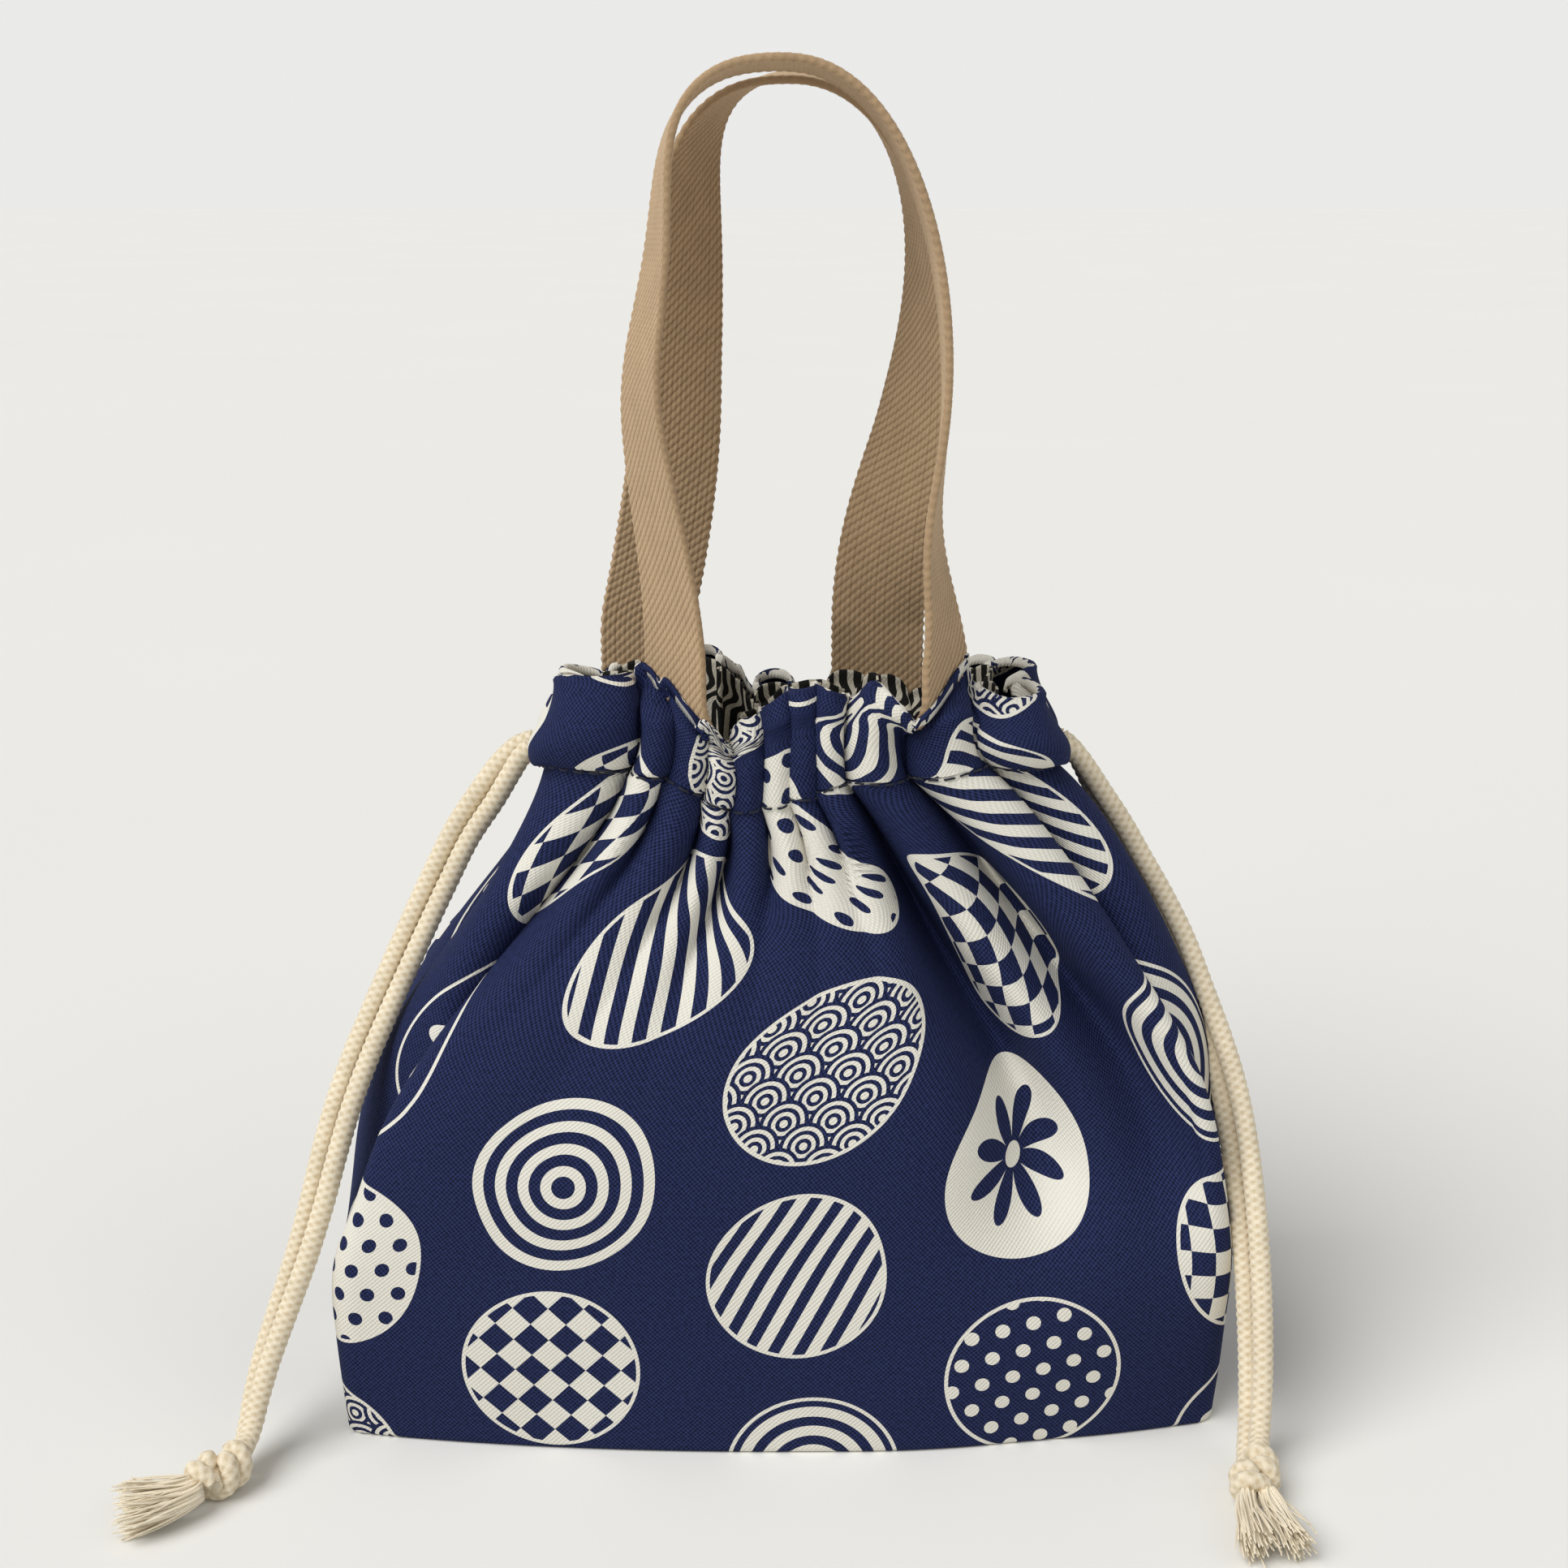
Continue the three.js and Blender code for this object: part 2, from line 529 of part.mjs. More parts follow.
// Frayed ends of the two strands, which bend away below the knot and spread
function tasselPiece(start, knotHeading, tasselHeading) {
  const elbow = start.clone().addScaledVector(unit(knotHeading), TASSEL_NECK_LENGTH);
  const end = elbow.clone().addScaledVector(unit(tasselHeading), TASSEL_FRAY_LENGTH);
  const line = new THREE.QuadraticBezierCurve3(start, elbow, end);
  const neck = strandOffset + half(CORD_DIAMETER);
  const frames = line.computeFrenetFrames(TASSEL_STEPS, false);
  const rings = frames.tangents.map((_, k) => {
    const t = k / TASSEL_STEPS;
    const radius = lerp(neck, half(TASSEL_END_DIAMETER), t);
    return Array.from({ length: ROUND_SIDES }, (__, i) => {
      const angle = 2 * Math.PI * i / ROUND_SIDES;
      return line.getPoint(t)
        .addScaledVector(frames.normals[k], radius * Math.cos(angle))
        .addScaledVector(frames.binormals[k], radius * Math.sin(angle));
    });
  });
  return loftedBar(rings, "front");
}

const bag = new THREE.Group();

function addPiece(name, geometry, material) {
  const mesh = new THREE.Mesh(geometry, material);
  mesh.name = name;
  bag.add(mesh);
}

const halves = [
  { side: "front", handle: FRONT_HANDLE, folds: FRONT_FOLDS },
  { side: "back", handle: BACK_HANDLE, folds: BACK_FOLDS },
];
for (const { side, handle, folds } of halves) {
  const gathers = gatheredColumns(folds);
  addPiece(`outer_${side}_panel`, outerPanel(gathers, side), canvas);
  addPiece(`lining_${side}_panel`, liningPanel(gathers, side), liningCotton);
  addPiece(`${side}_handle_left_tab`, handleTab(handle.left.foot, side), webbing);
  addPiece(`${side}_handle_right_tab`, handleTab(handle.right.foot, side), webbing);
  addPiece(`${side}_handle_strap`, handleStrap(handle, side), webbing);
}

const drawcords = [
  {
    name: "left", height: LEFT_CORD_HEIGHT, route: LEFT_CORD_ROUTE, pairEnd: LEFT_PAIR_END_ANGLE,
    knot: LEFT_KNOT_HEADING, tassel: LEFT_TASSEL_HEADING,
  },
  {
    name: "right", height: RIGHT_CORD_HEIGHT, route: RIGHT_CORD_ROUTE, pairEnd: RIGHT_PAIR_END_ANGLE,
    knot: RIGHT_KNOT_HEADING, tassel: RIGHT_TASSEL_HEADING,
  },
];
for (const cord of drawcords) {
  addPiece(`${cord.name}_drawcord_casing_run`, casingRun(cord.height, cord.name), cottonCord);
  for (const which of ["front", "back"]) {
    const strand = freeStrand(cord.route, cord.pairEnd, which);
    addPiece(`${cord.name}_drawcord_${which}_strand`, strand, cottonCord);
  }
  const knot = knotPiece(cord.route, cord.knot);
  addPiece(`${cord.name}_drawcord_knot`, knot.geometry, cottonCord);
  addPiece(`${cord.name}_drawcord_tassel`, tasselPiece(knot.end, cord.knot, cord.tassel), cottonCord);
}

export default bag;
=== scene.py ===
"""Looks of a gathered lunch bag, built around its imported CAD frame.

Everything is in metres, in the frame of the CAD part: +X to the right, front at -Y, +Z up.
"""

import math
from functools import partial

import bpy
import numpy as np
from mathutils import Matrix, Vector, noise


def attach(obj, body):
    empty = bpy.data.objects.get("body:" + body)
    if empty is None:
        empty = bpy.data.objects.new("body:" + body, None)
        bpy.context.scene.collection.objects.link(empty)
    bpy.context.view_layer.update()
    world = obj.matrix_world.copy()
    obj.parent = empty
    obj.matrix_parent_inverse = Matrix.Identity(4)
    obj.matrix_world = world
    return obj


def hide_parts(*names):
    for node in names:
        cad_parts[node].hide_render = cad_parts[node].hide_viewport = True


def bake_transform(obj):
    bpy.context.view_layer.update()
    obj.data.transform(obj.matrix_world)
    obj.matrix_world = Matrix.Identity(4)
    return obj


bl_info = {
    "name": "Gathered lunch bag",
    "version": (1, 0, 0),
    "blender": (4, 5, 0),
    "location": "3D View > Sidebar > Lunch Bag",
    "description": "Dresses the CAD frame of a lunch bag in cloth, webbing and cord",
    "category": "Object",
}

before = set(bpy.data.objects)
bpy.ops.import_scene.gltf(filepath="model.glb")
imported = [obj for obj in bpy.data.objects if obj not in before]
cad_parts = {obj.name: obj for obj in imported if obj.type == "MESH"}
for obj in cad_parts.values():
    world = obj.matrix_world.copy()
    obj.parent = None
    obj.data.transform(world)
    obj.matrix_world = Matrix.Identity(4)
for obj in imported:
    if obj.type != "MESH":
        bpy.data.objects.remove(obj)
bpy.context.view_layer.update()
MM = 0.001

# Folds of the gathered neck: place along the half mouth from the left seam, share of the full
# depth, and how far the fold runs down from the stitch line, in millimetres
FOLDS = {"front": (
    (0, 0.5, 55), (32, 1.2, 112), (40, 0.85, 17), (50.6, 0.9, 22), (57, 1.05, 27), (66, 0.9, 18),
    (73, 0.85, 14), (79.5, 0.8, 15), (87, 1.3, 118), (104, 1.15, 105), (124.3, 1.05, 66), (150.3, 0.5, 55),
), "back": (
    (0, 0.5, 55), (22, 0.9, 46), (34, 0.8, 18), (44, 1.05, 84), (54, 0.85, 20), (64, 0.9, 26),
    (74, 1.1, 92), (84, 0.8, 16), (95, 0.9, 30), (106, 1.05, 78), (117, 0.85, 20), (130, 0.9, 40),
    (150.3, 0.5, 55),
)}

# Middle line of each pair of free strands, from the casing to the knot on the floor, in millimetres
LEFT_CORD_ROUTE = (
    (-65.8, 0, 176.8), (-69.4, 0, 174.6), (-73.4, -0.3, 170), (-78.2, -1.2, 163), (-85.2, -3.5, 152.8),
    (-91.4, -7.5, 140.8), (-96.9, -12, 129.5), (-102, -17, 118.6), (-106.4, -22, 109), (-111.2, -28, 98),
    (-115.2, -34, 87), (-118.4, -39, 76), (-121.2, -43.5, 65), (-125.2, -48, 51.5), (-130, -52.5, 38),
    (-134, -57, 26.5), (-136.4, -61, 17.5), (-137.6, -65, 11), (-138.3, -69, 7.8), (-139, -72.3, 6.9),
)
RIGHT_CORD_ROUTE = (
    (74.8, 0, 177), (78, 0, 174.6), (81.2, -0.3, 170), (84.4, -0.6, 164.4), (90.2, -1.2, 155.4),
    (96, -2.2, 145.2), (101.8, -5, 135), (107.2, -9.5, 124), (111.4, -15, 112.6), (115.4, -20.5, 101.5),
    (118.4, -27, 91), (120.4, -34, 79.5), (121.8, -40.5, 67), (122.9, -47, 53), (123.5, -52.5, 39.5),
    (123.6, -57.5, 27), (123.2, -62, 17), (122.4, -66.2, 10.6), (121.4, -70.4, 7.7), (120.6, -74.4, 6.9),
)
# each cord: route, lay of the pair along it in degrees (0 side by side, 90 one in front of the other),
# headings of the knot and the tassel, height inside the casing
DRAWCORDS = {
    "left": (LEFT_CORD_ROUTE, (62, 20, 35, 80), (-0.5, -0.86, -0.05), (-0.96, -0.28, -0.05), 176),
    "right": (RIGHT_CORD_ROUTE, (117, 90, 50, 80), (-0.13, -0.99, -0.05), (0.12, -0.99, -0.05), 182.2),
}
LAY_PLACES = (0, 0.15, 0.6, 1)
FRONT_VIEW = (0, -0.87, 0.5)
# each handle: loop width, middle and drop of its top, then its two legs: foot place, twist power, twist
# at the foot in degrees, height and ease of the sweep to the foot, waist above it, lean and roundness of
# the arch
HANDLES = {
    "front": (83, 1, 0, (-26.8, 0.85, 52, 65, 0.9, 0, 4.6, 2.8), (41.6, 4, 62, 45, 1, 1.6, 0, 2.16)),
    "back": (81, 2.5, 2.8, (-36.6, 0.57, 0, 85, 0.5, 0, 2, 2.7), (26.4, 1.7, 0, 57, 1, 0, 0, 2.2)),
}
# casing's stitch line: place along the half mouth, rise, and how hard it bites, in millimetres
STITCH_LINE = {"front": (
    (0, 5, 2.5), (10, 6, 2.5), (18, 7.5, 1), (31, 6.5, 0.4), (41, 5.5, 1), (50, 1, 1.5), (58, -2.5, 2),
    (68, -1.5, 2), (77, 0.5, 1.5), (88, 4.5, 0), (101, 4.5, 0), (113, 6, 0.4), (121, 7.5, 0.8),
    (135, 7.5, 1.5), (143, 6, 2.5), (150.3, 5, 2.5),
), "back": (
    (0, 5, 2.5), (14, 0, 2), (28, -4, 1), (44, -5, 2), (60, -4.5, 0.5), (76, -6, 2), (92, -5, 1),
    (110, -4, 0.5), (124, -3, 1), (138, 0, 2), (150.3, 5, 2.5),
)}
# gathered rim: place along the half mouth and height, in millimetres
RIM = {"front": (
    (0, 194), (10, 196), (22, 198.8), (34.5, 200), (40, 199), (51, 190.6), (56, 183.5), (61.4, 188.7),
    (66, 190.6), (72, 196), (80, 197.5), (89, 193.5), (93.7, 199), (105, 192.5), (119, 201.5), (123, 199),
    (129.5, 192.5), (138, 192.5), (150.3, 194),
), "back": (
    (0, 194), (10, 193), (20, 190.5), (34, 193.7), (46, 194.5), (54, 194.7), (59, 188.5), (61.5, 183.5),
    (66, 187.5), (71, 187.7), (76, 183.5), (81, 184), (85, 190.5), (100, 189), (109, 185.5), (116, 187),
    (124, 192), (135, 194), (150.3, 194),
)}


def linear(hex_colour):
    """Linear RGB of an sRGB hex colour."""
    channels = [int(hex_colour[i:i + 2], 16) / 255 for i in (1, 3, 5)]
    return tuple(c / 12.92 if c <= 0.04045 else ((c + 0.055) / 1.055) ** 2.4 for c in channels)


def length(name, description, default):
    """A length in metres for a property group."""
    return bpy.props.FloatProperty(name=name, description=description, default=default, min=0, unit="LENGTH")


def colour(name, description, hex_colour):
    """A colour for a property group."""
    return bpy.props.FloatVectorProperty(
        name=name, description=description, default=linear(hex_colour), subtype="COLOR", min=0, max=1,
    )


class BagSizes(bpy.types.PropertyGroup):
    """Sizes of the cloth body, the gathered neck and the casing."""

    base_width: length("Base width", "Width of the boxed base", 0.233)
    base_depth: length("Base depth", "Depth of the boxed base", 0.122)
    base_corner: length("Base corner", "Corner radius of the base seen from above", 0.005)
    base_edge: length("Base edge", "Rounding where the wall turns into the base", 0.0016)
    bulge: length("Wall bulge", "How far the filled walls swell", 0.003)
    neck_width: length("Neck width", "Width of the gathered neck", 0.116)
    neck_depth: length("Neck depth", "Depth of the gathered neck", 0.048)
    neck_corner: length("Neck corner", "Corner radius of the neck", 0.016)
    neck_shift: length("Neck shift", "How far the neck sits to the right of the base", 0.0045)
    slump: length("Shoulder slump", "How far the shoulder leans to the right", 0.0063)
    stitch_height: length("Stitch height", "Height of the stitch line under the casing", 0.169)
    rim_height: length("Rim height", "Height of the gathered rim", 0.195)
    flat_width: length("Flat width", "Width of half the bag before it is gathered", 0.348)
    cord_slit: length("Cord slit", "Width of the slit in the side seam that the cords leave by", 0.015)
    outer_cloth: length("Canvas thickness", "Thickness of the canvas", 0.0011)
    lining_cloth: length("Lining thickness", "Thickness of the lining", 0.0006)


class HandleSizes(bpy.types.PropertyGroup):
    """Sizes of the webbing handles."""

    width: length("Webbing width", "Width of the webbing", 0.025)
    thickness: length("Webbing thickness", "Thickness of the webbing", 0.002)
    loop_top: length("Loop top", "Height of the top of the loops", 0.350)
    loop_widest: length("Loop widest", "Height where the loops are widest", 0.266)
    hinge_height: length("Bend height", "Height where the webbing bends above the rim", 0.2043)
    plane_depth: length("Handle depth", "How far in front of or behind the middle a handle stands", 0.0232)
    front_sewn_in: length("Front sewn in", "How far the front ends run down behind the rim", 0.016)
    back_sewn_in: length("Back sewn in", "How far the back ends run down behind the rim", 0.024)
    rib: length("Rib width", "Width of one warp rib of the webbing", 0.00134)
    brick: length("Rib pitch", "Length of one stitch of a warp rib", 0.0025)


class CordSizes(bpy.types.PropertyGroup):
    """Sizes of the drawcords."""

    diameter: length("Cord diameter", "Diameter of the braided cord", 0.0055)
    pair_gap: length("Pair gap", "Gap between the two strands of a pair", 0.0006)
    left_free: length("Left free length", "Length of each free strand on the left", 0.203)
    right_free: length("Right free length", "Length of each free strand on the right", 0.205)
    casing_loop: length("Casing loop", "Length of a cord inside the casing", 0.318)
    knot_length: length("Knot length", "Length of the knot", 0.0145)
    tassel_length: length("Tassel length", "Length of the frayed ends", 0.0205)


class BagColours(bpy.types.PropertyGroup):
    """Colours of the cloths, webbing, cord and thread."""

    # canvas and yarn are one navy: the ground is darkened as painted shade between the yarns, the yarn colour
    # lightened as painted light on their tops
    canvas: colour("Canvas", "Ground of the canvas between its yarns", "#0f152a")
    yarn: colour("Canvas yarn", "Raised yarns of the canvas", "#2f3761")
    print: colour("Print", "Print on the canvas", "#efece2")
    stripe_dark: colour("Dark stripe", "Dark stripe of the lining", "#191917")
    stripe_pale: colour("Pale stripe", "Pale stripe of the lining", "#c9c3b2")
    webbing: colour("Webbing", "Raised threads of the webbing", "#bfa482")
    webbing_groove: colour("Webbing groove", "Shaded threads of the webbing", "#876a4a")
    cord: colour("Cord", "Raised yarns of the cord", "#f2e7d0")
    cord_groove: colour("Cord groove", "Shaded yarns of the cord", "#d2c09f")
    thread: colour("Thread", "Sewing thread of the casing", "#1b1e2c")
    floor: colour("Floor", "Floor under the bag", "#ecebe7")


# Meshes

def grid_faces(rows, columns, start, wrapped):
    """Quads of a grid of points whose columns may close on themselves."""
    across = np.arange(columns if wrapped else columns - 1)
    right = (across + 1) % columns
    up = np.arange(rows - 1)[:, None] * columns + start
    corners = (up + across, up + right, up + columns + right, up + columns + across)
    return np.stack(np.broadcast_arrays(*corners), axis=-1).reshape(-1, 4)


def build_mesh(name, grids, material, wrapped=False, flat=None, heights=None, flipped=False):
    """Object made of grids of points (rows, columns, 3), with their flat places and thread heights."""
    faces = []
    start = 0
    for grid in grids:
        rows, columns = grid.shape[:2]
        faces += grid_faces(rows, columns, start, wrapped).tolist()
        if wrapped:
            faces.append(list(range(start + columns - 1, start - 1, -1)))
            last = start + (rows - 1) * columns
            faces.append(list(range(last, last + columns)))
        start += rows * columns
    if flipped:
        faces = [face[::-1] for face in faces]
    points = np.concatenate([grid.reshape(-1, 3) for grid in grids])
    mesh = bpy.data.meshes.new(name)
    mesh.from_pydata(points.tolist(), [], faces)
    if flat is not None:
        corner = np.empty(len(mesh.loops), np.int32)
        mesh.loops.foreach_get("vertex_index", corner)
        places = np.concatenate([grid.reshape(-1, 2) for grid in flat])
        layer = mesh.uv_layers.new(name="flat")
        layer.data.foreach_set("uv", places[corner].astype(np.float32).ravel())
    if heights is not None:
        values = np.concatenate([grid.ravel() for grid in heights]).astype(np.float32)
        mesh.attributes.new("thread_height", "FLOAT", "POINT").data.foreach_set("value", values)
    mesh.polygons.foreach_set("use_smooth", np.ones(len(mesh.polygons), bool))
    mesh.materials.append(material)
    mesh.update()
    made = bpy.data.objects.new(name, mesh)
    bpy.context.scene.collection.objects.link(made)
    return made


def apply_modifier(piece, kind, **settings):
    """Adds a modifier to a piece and applies it."""
    added = piece.modifiers.new(kind.lower(), kind)
    for key, value in settings.items():
        setattr(added, key, value)
    with bpy.context.temp_override(object=piece, active_object=piece):
        bpy.ops.object.modifier_apply(modifier=added.name)


def smooth_step(t):
    """0 before 0, 1 after 1, and a smooth rise between."""
    t = np.clip(t, 0, 1)
    return t * t * (3 - 2 * t)


def unit(vectors):
    """Vectors with a length of one."""
    vectors = np.asarray(vectors, float)
    return vectors / np.linalg.norm(vectors, axis=-1, keepdims=True)


def run_along(line):
    """Distance along a line at each of its points."""
    return np.concatenate([[0], np.cumsum(np.linalg.norm(np.diff(line, axis=0), axis=1))])


def points_at(at, run, line):
    """Points of a line at distances along it."""
    return np.stack([np.interp(at, run, line[:, k]) for k in range(3)], axis=1)


def smooth_line(points, step):
    """Points about step apart on a smooth line through the given points."""
    points = np.asarray(points, float)
    padded = np.vstack([2 * points[0] - points[1], points, 2 * points[-1] - points[-2]])
    knots = np.concatenate([[0], np.cumsum(np.linalg.norm(np.diff(padded, axis=0), axis=1) ** 0.5)])
    fine = []
    for i in range(1, len(padded) - 2):
        k0, k1, k2, k3 = knots[i - 1:i + 3]
        p0, p1, p2, p3 = padded[i - 1:i + 3]
        t = np.linspace(k1, k2, 24, endpoint=False)[:, None]

        def between(p, q, first, last):
            return ((last - t) * p + (t - first) * q) / (last - first)

        middle = between(p1, p2, k1, k2)
        before = between(between(p0, p1, k0, k1), middle, k0, k2)
        after = between(middle, between(p2, p3, k2, k3), k1, k3)
        fine.append(between(before, after, k1, k2))
    line = np.vstack([*fine, points[-1:]])
    run = run_along(line)
    return points_at(np.linspace(0, run[-1], max(2, math.ceil(run[-1] / step) + 1)), run, line)


def tangents_of(line):
    """Unit directions along a line."""
    return unit(np.gradient(line, axis=0))


def cord_rings(line, radius, sides, lift=None):
    """Rings of a round cord along a line: points, and the raised height of its surface."""
    tangents = tangents_of(line)
    normal = unit(np.cross(tangents[0], (0, 0, 1) if abs(tangents[0][2]) < 0.9 else (1, 0, 0)))
    turn = np.linspace(0, 2 * math.pi, sides, endpoint=False)
    run = run_along(line)
    radii = np.broadcast_to(radius, (len(line),))
    rings = np.empty((len(line), sides, 3))
    heights = np.zeros((len(line), sides))
    for i, tangent in enumerate(tangents):
        normal = unit(normal - tangent * (normal @ tangent))
        other = np.cross(tangent, normal)
        raised = np.zeros(sides)
        if lift is not None:
            raised, heights[i] = lift(turn, run[i])
        reach = (radii[i] + raised)[:, None]
        rings[i] = line[i] + reach * (np.cos(turn)[:, None] * normal + np.sin(turn)[:, None] * other)
    return rings, heights


def braid_lift(turn, along):
    """Raised yarns of an eight-strand round braid: metres off the cord's mean radius, and 0 to 1."""
    pitch, raised = 9 * MM, 0.48 * MM
    strands = 4
    phase = 2 * math.pi * along / pitch
    one = np.cos(0.5 * (strands * turn + strands * phase)) ** 2
    two = np.cos(0.5 * (strands * turn - strands * phase)) ** 2
    over = np.sin(strands * turn) * np.sin(strands * phase)
    height = np.maximum(one * (0.75 + 0.25 * over), two * (0.75 - 0.25 * over))
    return raised * (height - 0.62), height


# Shape of the bag

def body_section(z, sizes):
    """Half width, half depth and corner radius of the bag at a height."""
    t = min(z / sizes.stitch_height, 1)
    swell = sizes.bulge * math.sin(math.pi * t)
    inset = 0.0
    if z < sizes.base_edge:
        inset = sizes.base_edge - math.sqrt(sizes.base_edge ** 2 - (sizes.base_edge - z) ** 2)
    narrowing = t ** 5 * (1 + 3 * (1 - t))
    width = sizes.base_width + (sizes.neck_width - sizes.base_width) * narrowing
    depth = sizes.base_depth + (sizes.neck_depth - sizes.base_depth) * t ** 2.4
    corner = sizes.base_corner + (sizes.neck_corner - sizes.base_corner) * t
    return width / 2 + swell - inset, depth / 2 + swell - inset, corner - inset


def side_shift(z, sizes):
    """How far the bag's middle has moved to the right at a height."""
    t = min(z / sizes.stitch_height, 1)
    power = 5
    peak = power / (power + 1)
    lean = t ** power * (1 - t) / (peak ** power * (1 - peak))
    return sizes.neck_shift * t ** 2 + sizes.slump * lean


def half_outline(section, opening, fraction):
    """Points and outward directions on the front half of a section, from the left seam to the right."""
    half_width, half_depth, radius = section
    side = half_depth - radius
    arc = radius * math.pi / 2
    quarter = side + arc + half_width - radius
    along = opening / 2 + (2 * quarter - opening) * fraction
    mirror = np.where(along > quarter, -1.0, 1.0)
    s = np.where(along > quarter, 2 * quarter - along, along)
    angle = np.clip((s - side) / radius, 0, math.pi / 2)
    nx = -np.cos(angle)
    ny = -np.sin(angle)
    x = radius - half_width + radius * nx + np.maximum(s - side - arc, 0)
    y = -side + radius * ny + np.maximum(side - s, 0)
    return x * mirror, y, nx * mirror, ny, 2 * quarter


class Gathers:
    """How one half of the cloth is gathered: where flat cloth goes and how deep its folds are."""

    full_depth = 11.5 * MM
    most = 2.1
    sharpness = 1.7
    deepening = 5
    rim_easing = 0.35
    slack, slack_from, slack_over = 0.03, 0.04, 0.06
    gathered_from = 0.075
    neck_spread = 5.0 * MM
    spread_growth = 0.145
    ridge_rounding, rounding_fade = 6 * MM, 20 * MM
    mouth_half = 150.3 * MM

    def __init__(self, side, sizes):
        place, share, reach = np.array(FOLDS[side]).T
        self.place = place * MM
        self.share = share
        self.reach = reach * MM
        self.sizes = sizes
        self.flat = np.linspace(0, sizes.flat_width, 1601)
        runs = np.hypot(np.diff(self.place), 2 * self.full_depth)
        self.fold_flat = np.concatenate([[0], np.cumsum(runs)]) / runs.sum() * sizes.flat_width
        self.mouth = np.interp(self.flat, self.fold_flat, self.place)
        ridge = np.interp(self.mouth, self.place, np.arange(len(place)))
        self.ridge_edge = (2 * (ridge - np.floor(ridge)) - 1) ** 2

    def laid_width(self, z):
        """Width of cloth laid at a height: a little more than its flat width where the bag is slack."""
        return self.sizes.flat_width * (1 + self.slack * smooth_step((z - self.slack_from) / self.slack_over))

    def fraction(self, z):
        """Where each place on the flat cloth lies along the half outline at a height."""
        even = self.flat / self.sizes.flat_width
        share = smooth_step((z - self.gathered_from) / (self.sizes.stitch_height - self.gathered_from))
        return even + (self.mouth / self.mouth_half - even) * share

    def depth(self, drop, rise):
        """How far each place lies inside the crests, for a drop below or a rise above the stitch line."""
        spread = self.neck_spread + self.spread_growth * drop
        fade = (1 + self.deepening * drop) * np.exp(-(drop / self.reach) ** 2) * (1 - self.rim_easing * rise)
        away = (self.flat[:, None] - self.fold_flat) / spread
        rounding = self.ridge_rounding * self.ridge_edge * np.exp(-drop / self.rounding_fade)
        folds = self.full_depth * self.share * fade / (1 + away ** 2) ** self.sharpness
        return folds.sum(axis=1) + rounding

    def puffiness(self):
        """1 on the crests and 0 in the folds of the casing."""
        away = (self.flat[:, None] - self.fold_flat) / self.neck_spread
        return 1 - np.minimum((1 / (1 + away ** 2) ** self.sharpness).sum(axis=1), 1)


def uneven(points, scale, seed):
    """Smooth noise from -1 to 1 at points, with bumps about scale apart."""
    flat = points.reshape(-1, points.shape[-1]) / scale
    values = [noise.noise(Vector((p[0], p[1], seed))) for p in flat]
    return np.array(values).reshape(points.shape[:-1])


def foot_turn(z):
    """Share of a handle's foot twist that is reached at a height: the webbing turns as it leaves the rim."""
    turn_from, turn_over = 0.172, 0.024
    return smooth_step((z - turn_from) / turn_over)


def strap_feet(side, sizes):
    """A handle's ends in the rim: place along the half mouth, which way its inner edge is, and its twist."""
    middle = Gathers.mouth_half / 2 - sizes.neck_shift
    *_, left, right = HANDLES[side]
    legs = ((left, 1), (right, -1))
    return tuple((middle + leg[0] * MM, inner, math.radians(leg[2])) for leg, inner in legs)


def eased(at, places, values):
    """Values between known places, with a smooth rise or fall from each one to the next."""
    index = np.clip(np.searchsorted(places, at, side="right") - 1, 0, len(places) - 2)
    share = smooth_step((at - places[index]) / (places[index + 1] - places[index]))
    return values[index] + (values[index + 1] - values[index]) * share


def rim_heights(gathers, side):
    """Height of the rim over each place: it dips between the handles and a little at each fold."""
    place, height = np.array(RIM[side]).T * MM
    fold_dip, mean_puff = 3.2 * MM, 0.6
    return eased(gathers.mouth, place, height) + fold_dip * (gathers.puffiness() ** 0.6 - mean_puff)


def stitch_line(mouth, side):
    """Rise and bite of the casing's stitch line over places along the half mouth."""
    place, rise, bite = np.array(STITCH_LINE[side]).T * MM
    return eased(mouth, place, rise), eased(mouth, place, bite)


def panel_rows(sizes):
    """Levels of a cloth panel: parts of the base, heights on the wall, and shares of the casing."""
    base = np.linspace(0, 1, 9)[:-1]
    low = np.array([0, 0.2, 0.55, 1.1, 2, 4.5]) * MM
    wall = np.concatenate([low, np.linspace(8 * MM, 0.09, 30), np.linspace(0.092, sizes.stitch_height, 56)])
    casing = np.linspace(0, 1, 31)[1:]
    return base, wall, casing


def bowed(grid, sizes):
    """A panel whose base bows forward in the middle, so that its corners lie back, less so higher up."""
    x = grid[:, :, 0] / MM
    left_back, left_reach = 8.6, 114
    right_back, right_from, right_reach = 13.2, 20, 93
    left = left_back * (x / left_reach) ** 2
    right = right_back * (np.maximum(x - right_from, 0) / right_reach) ** 2
    lying_back = np.where(x < 0, left, right) * MM
    fade = np.clip(1 - grid[:, :, 2] / sizes.stitch_height, 0, 1)
    narrowed = 1 - lying_back * fade / (sizes.base_depth / 2)
    return np.stack([grid[:, :, 0], grid[:, :, 1] * narrowed, grid[:, :, 2]], axis=-1)


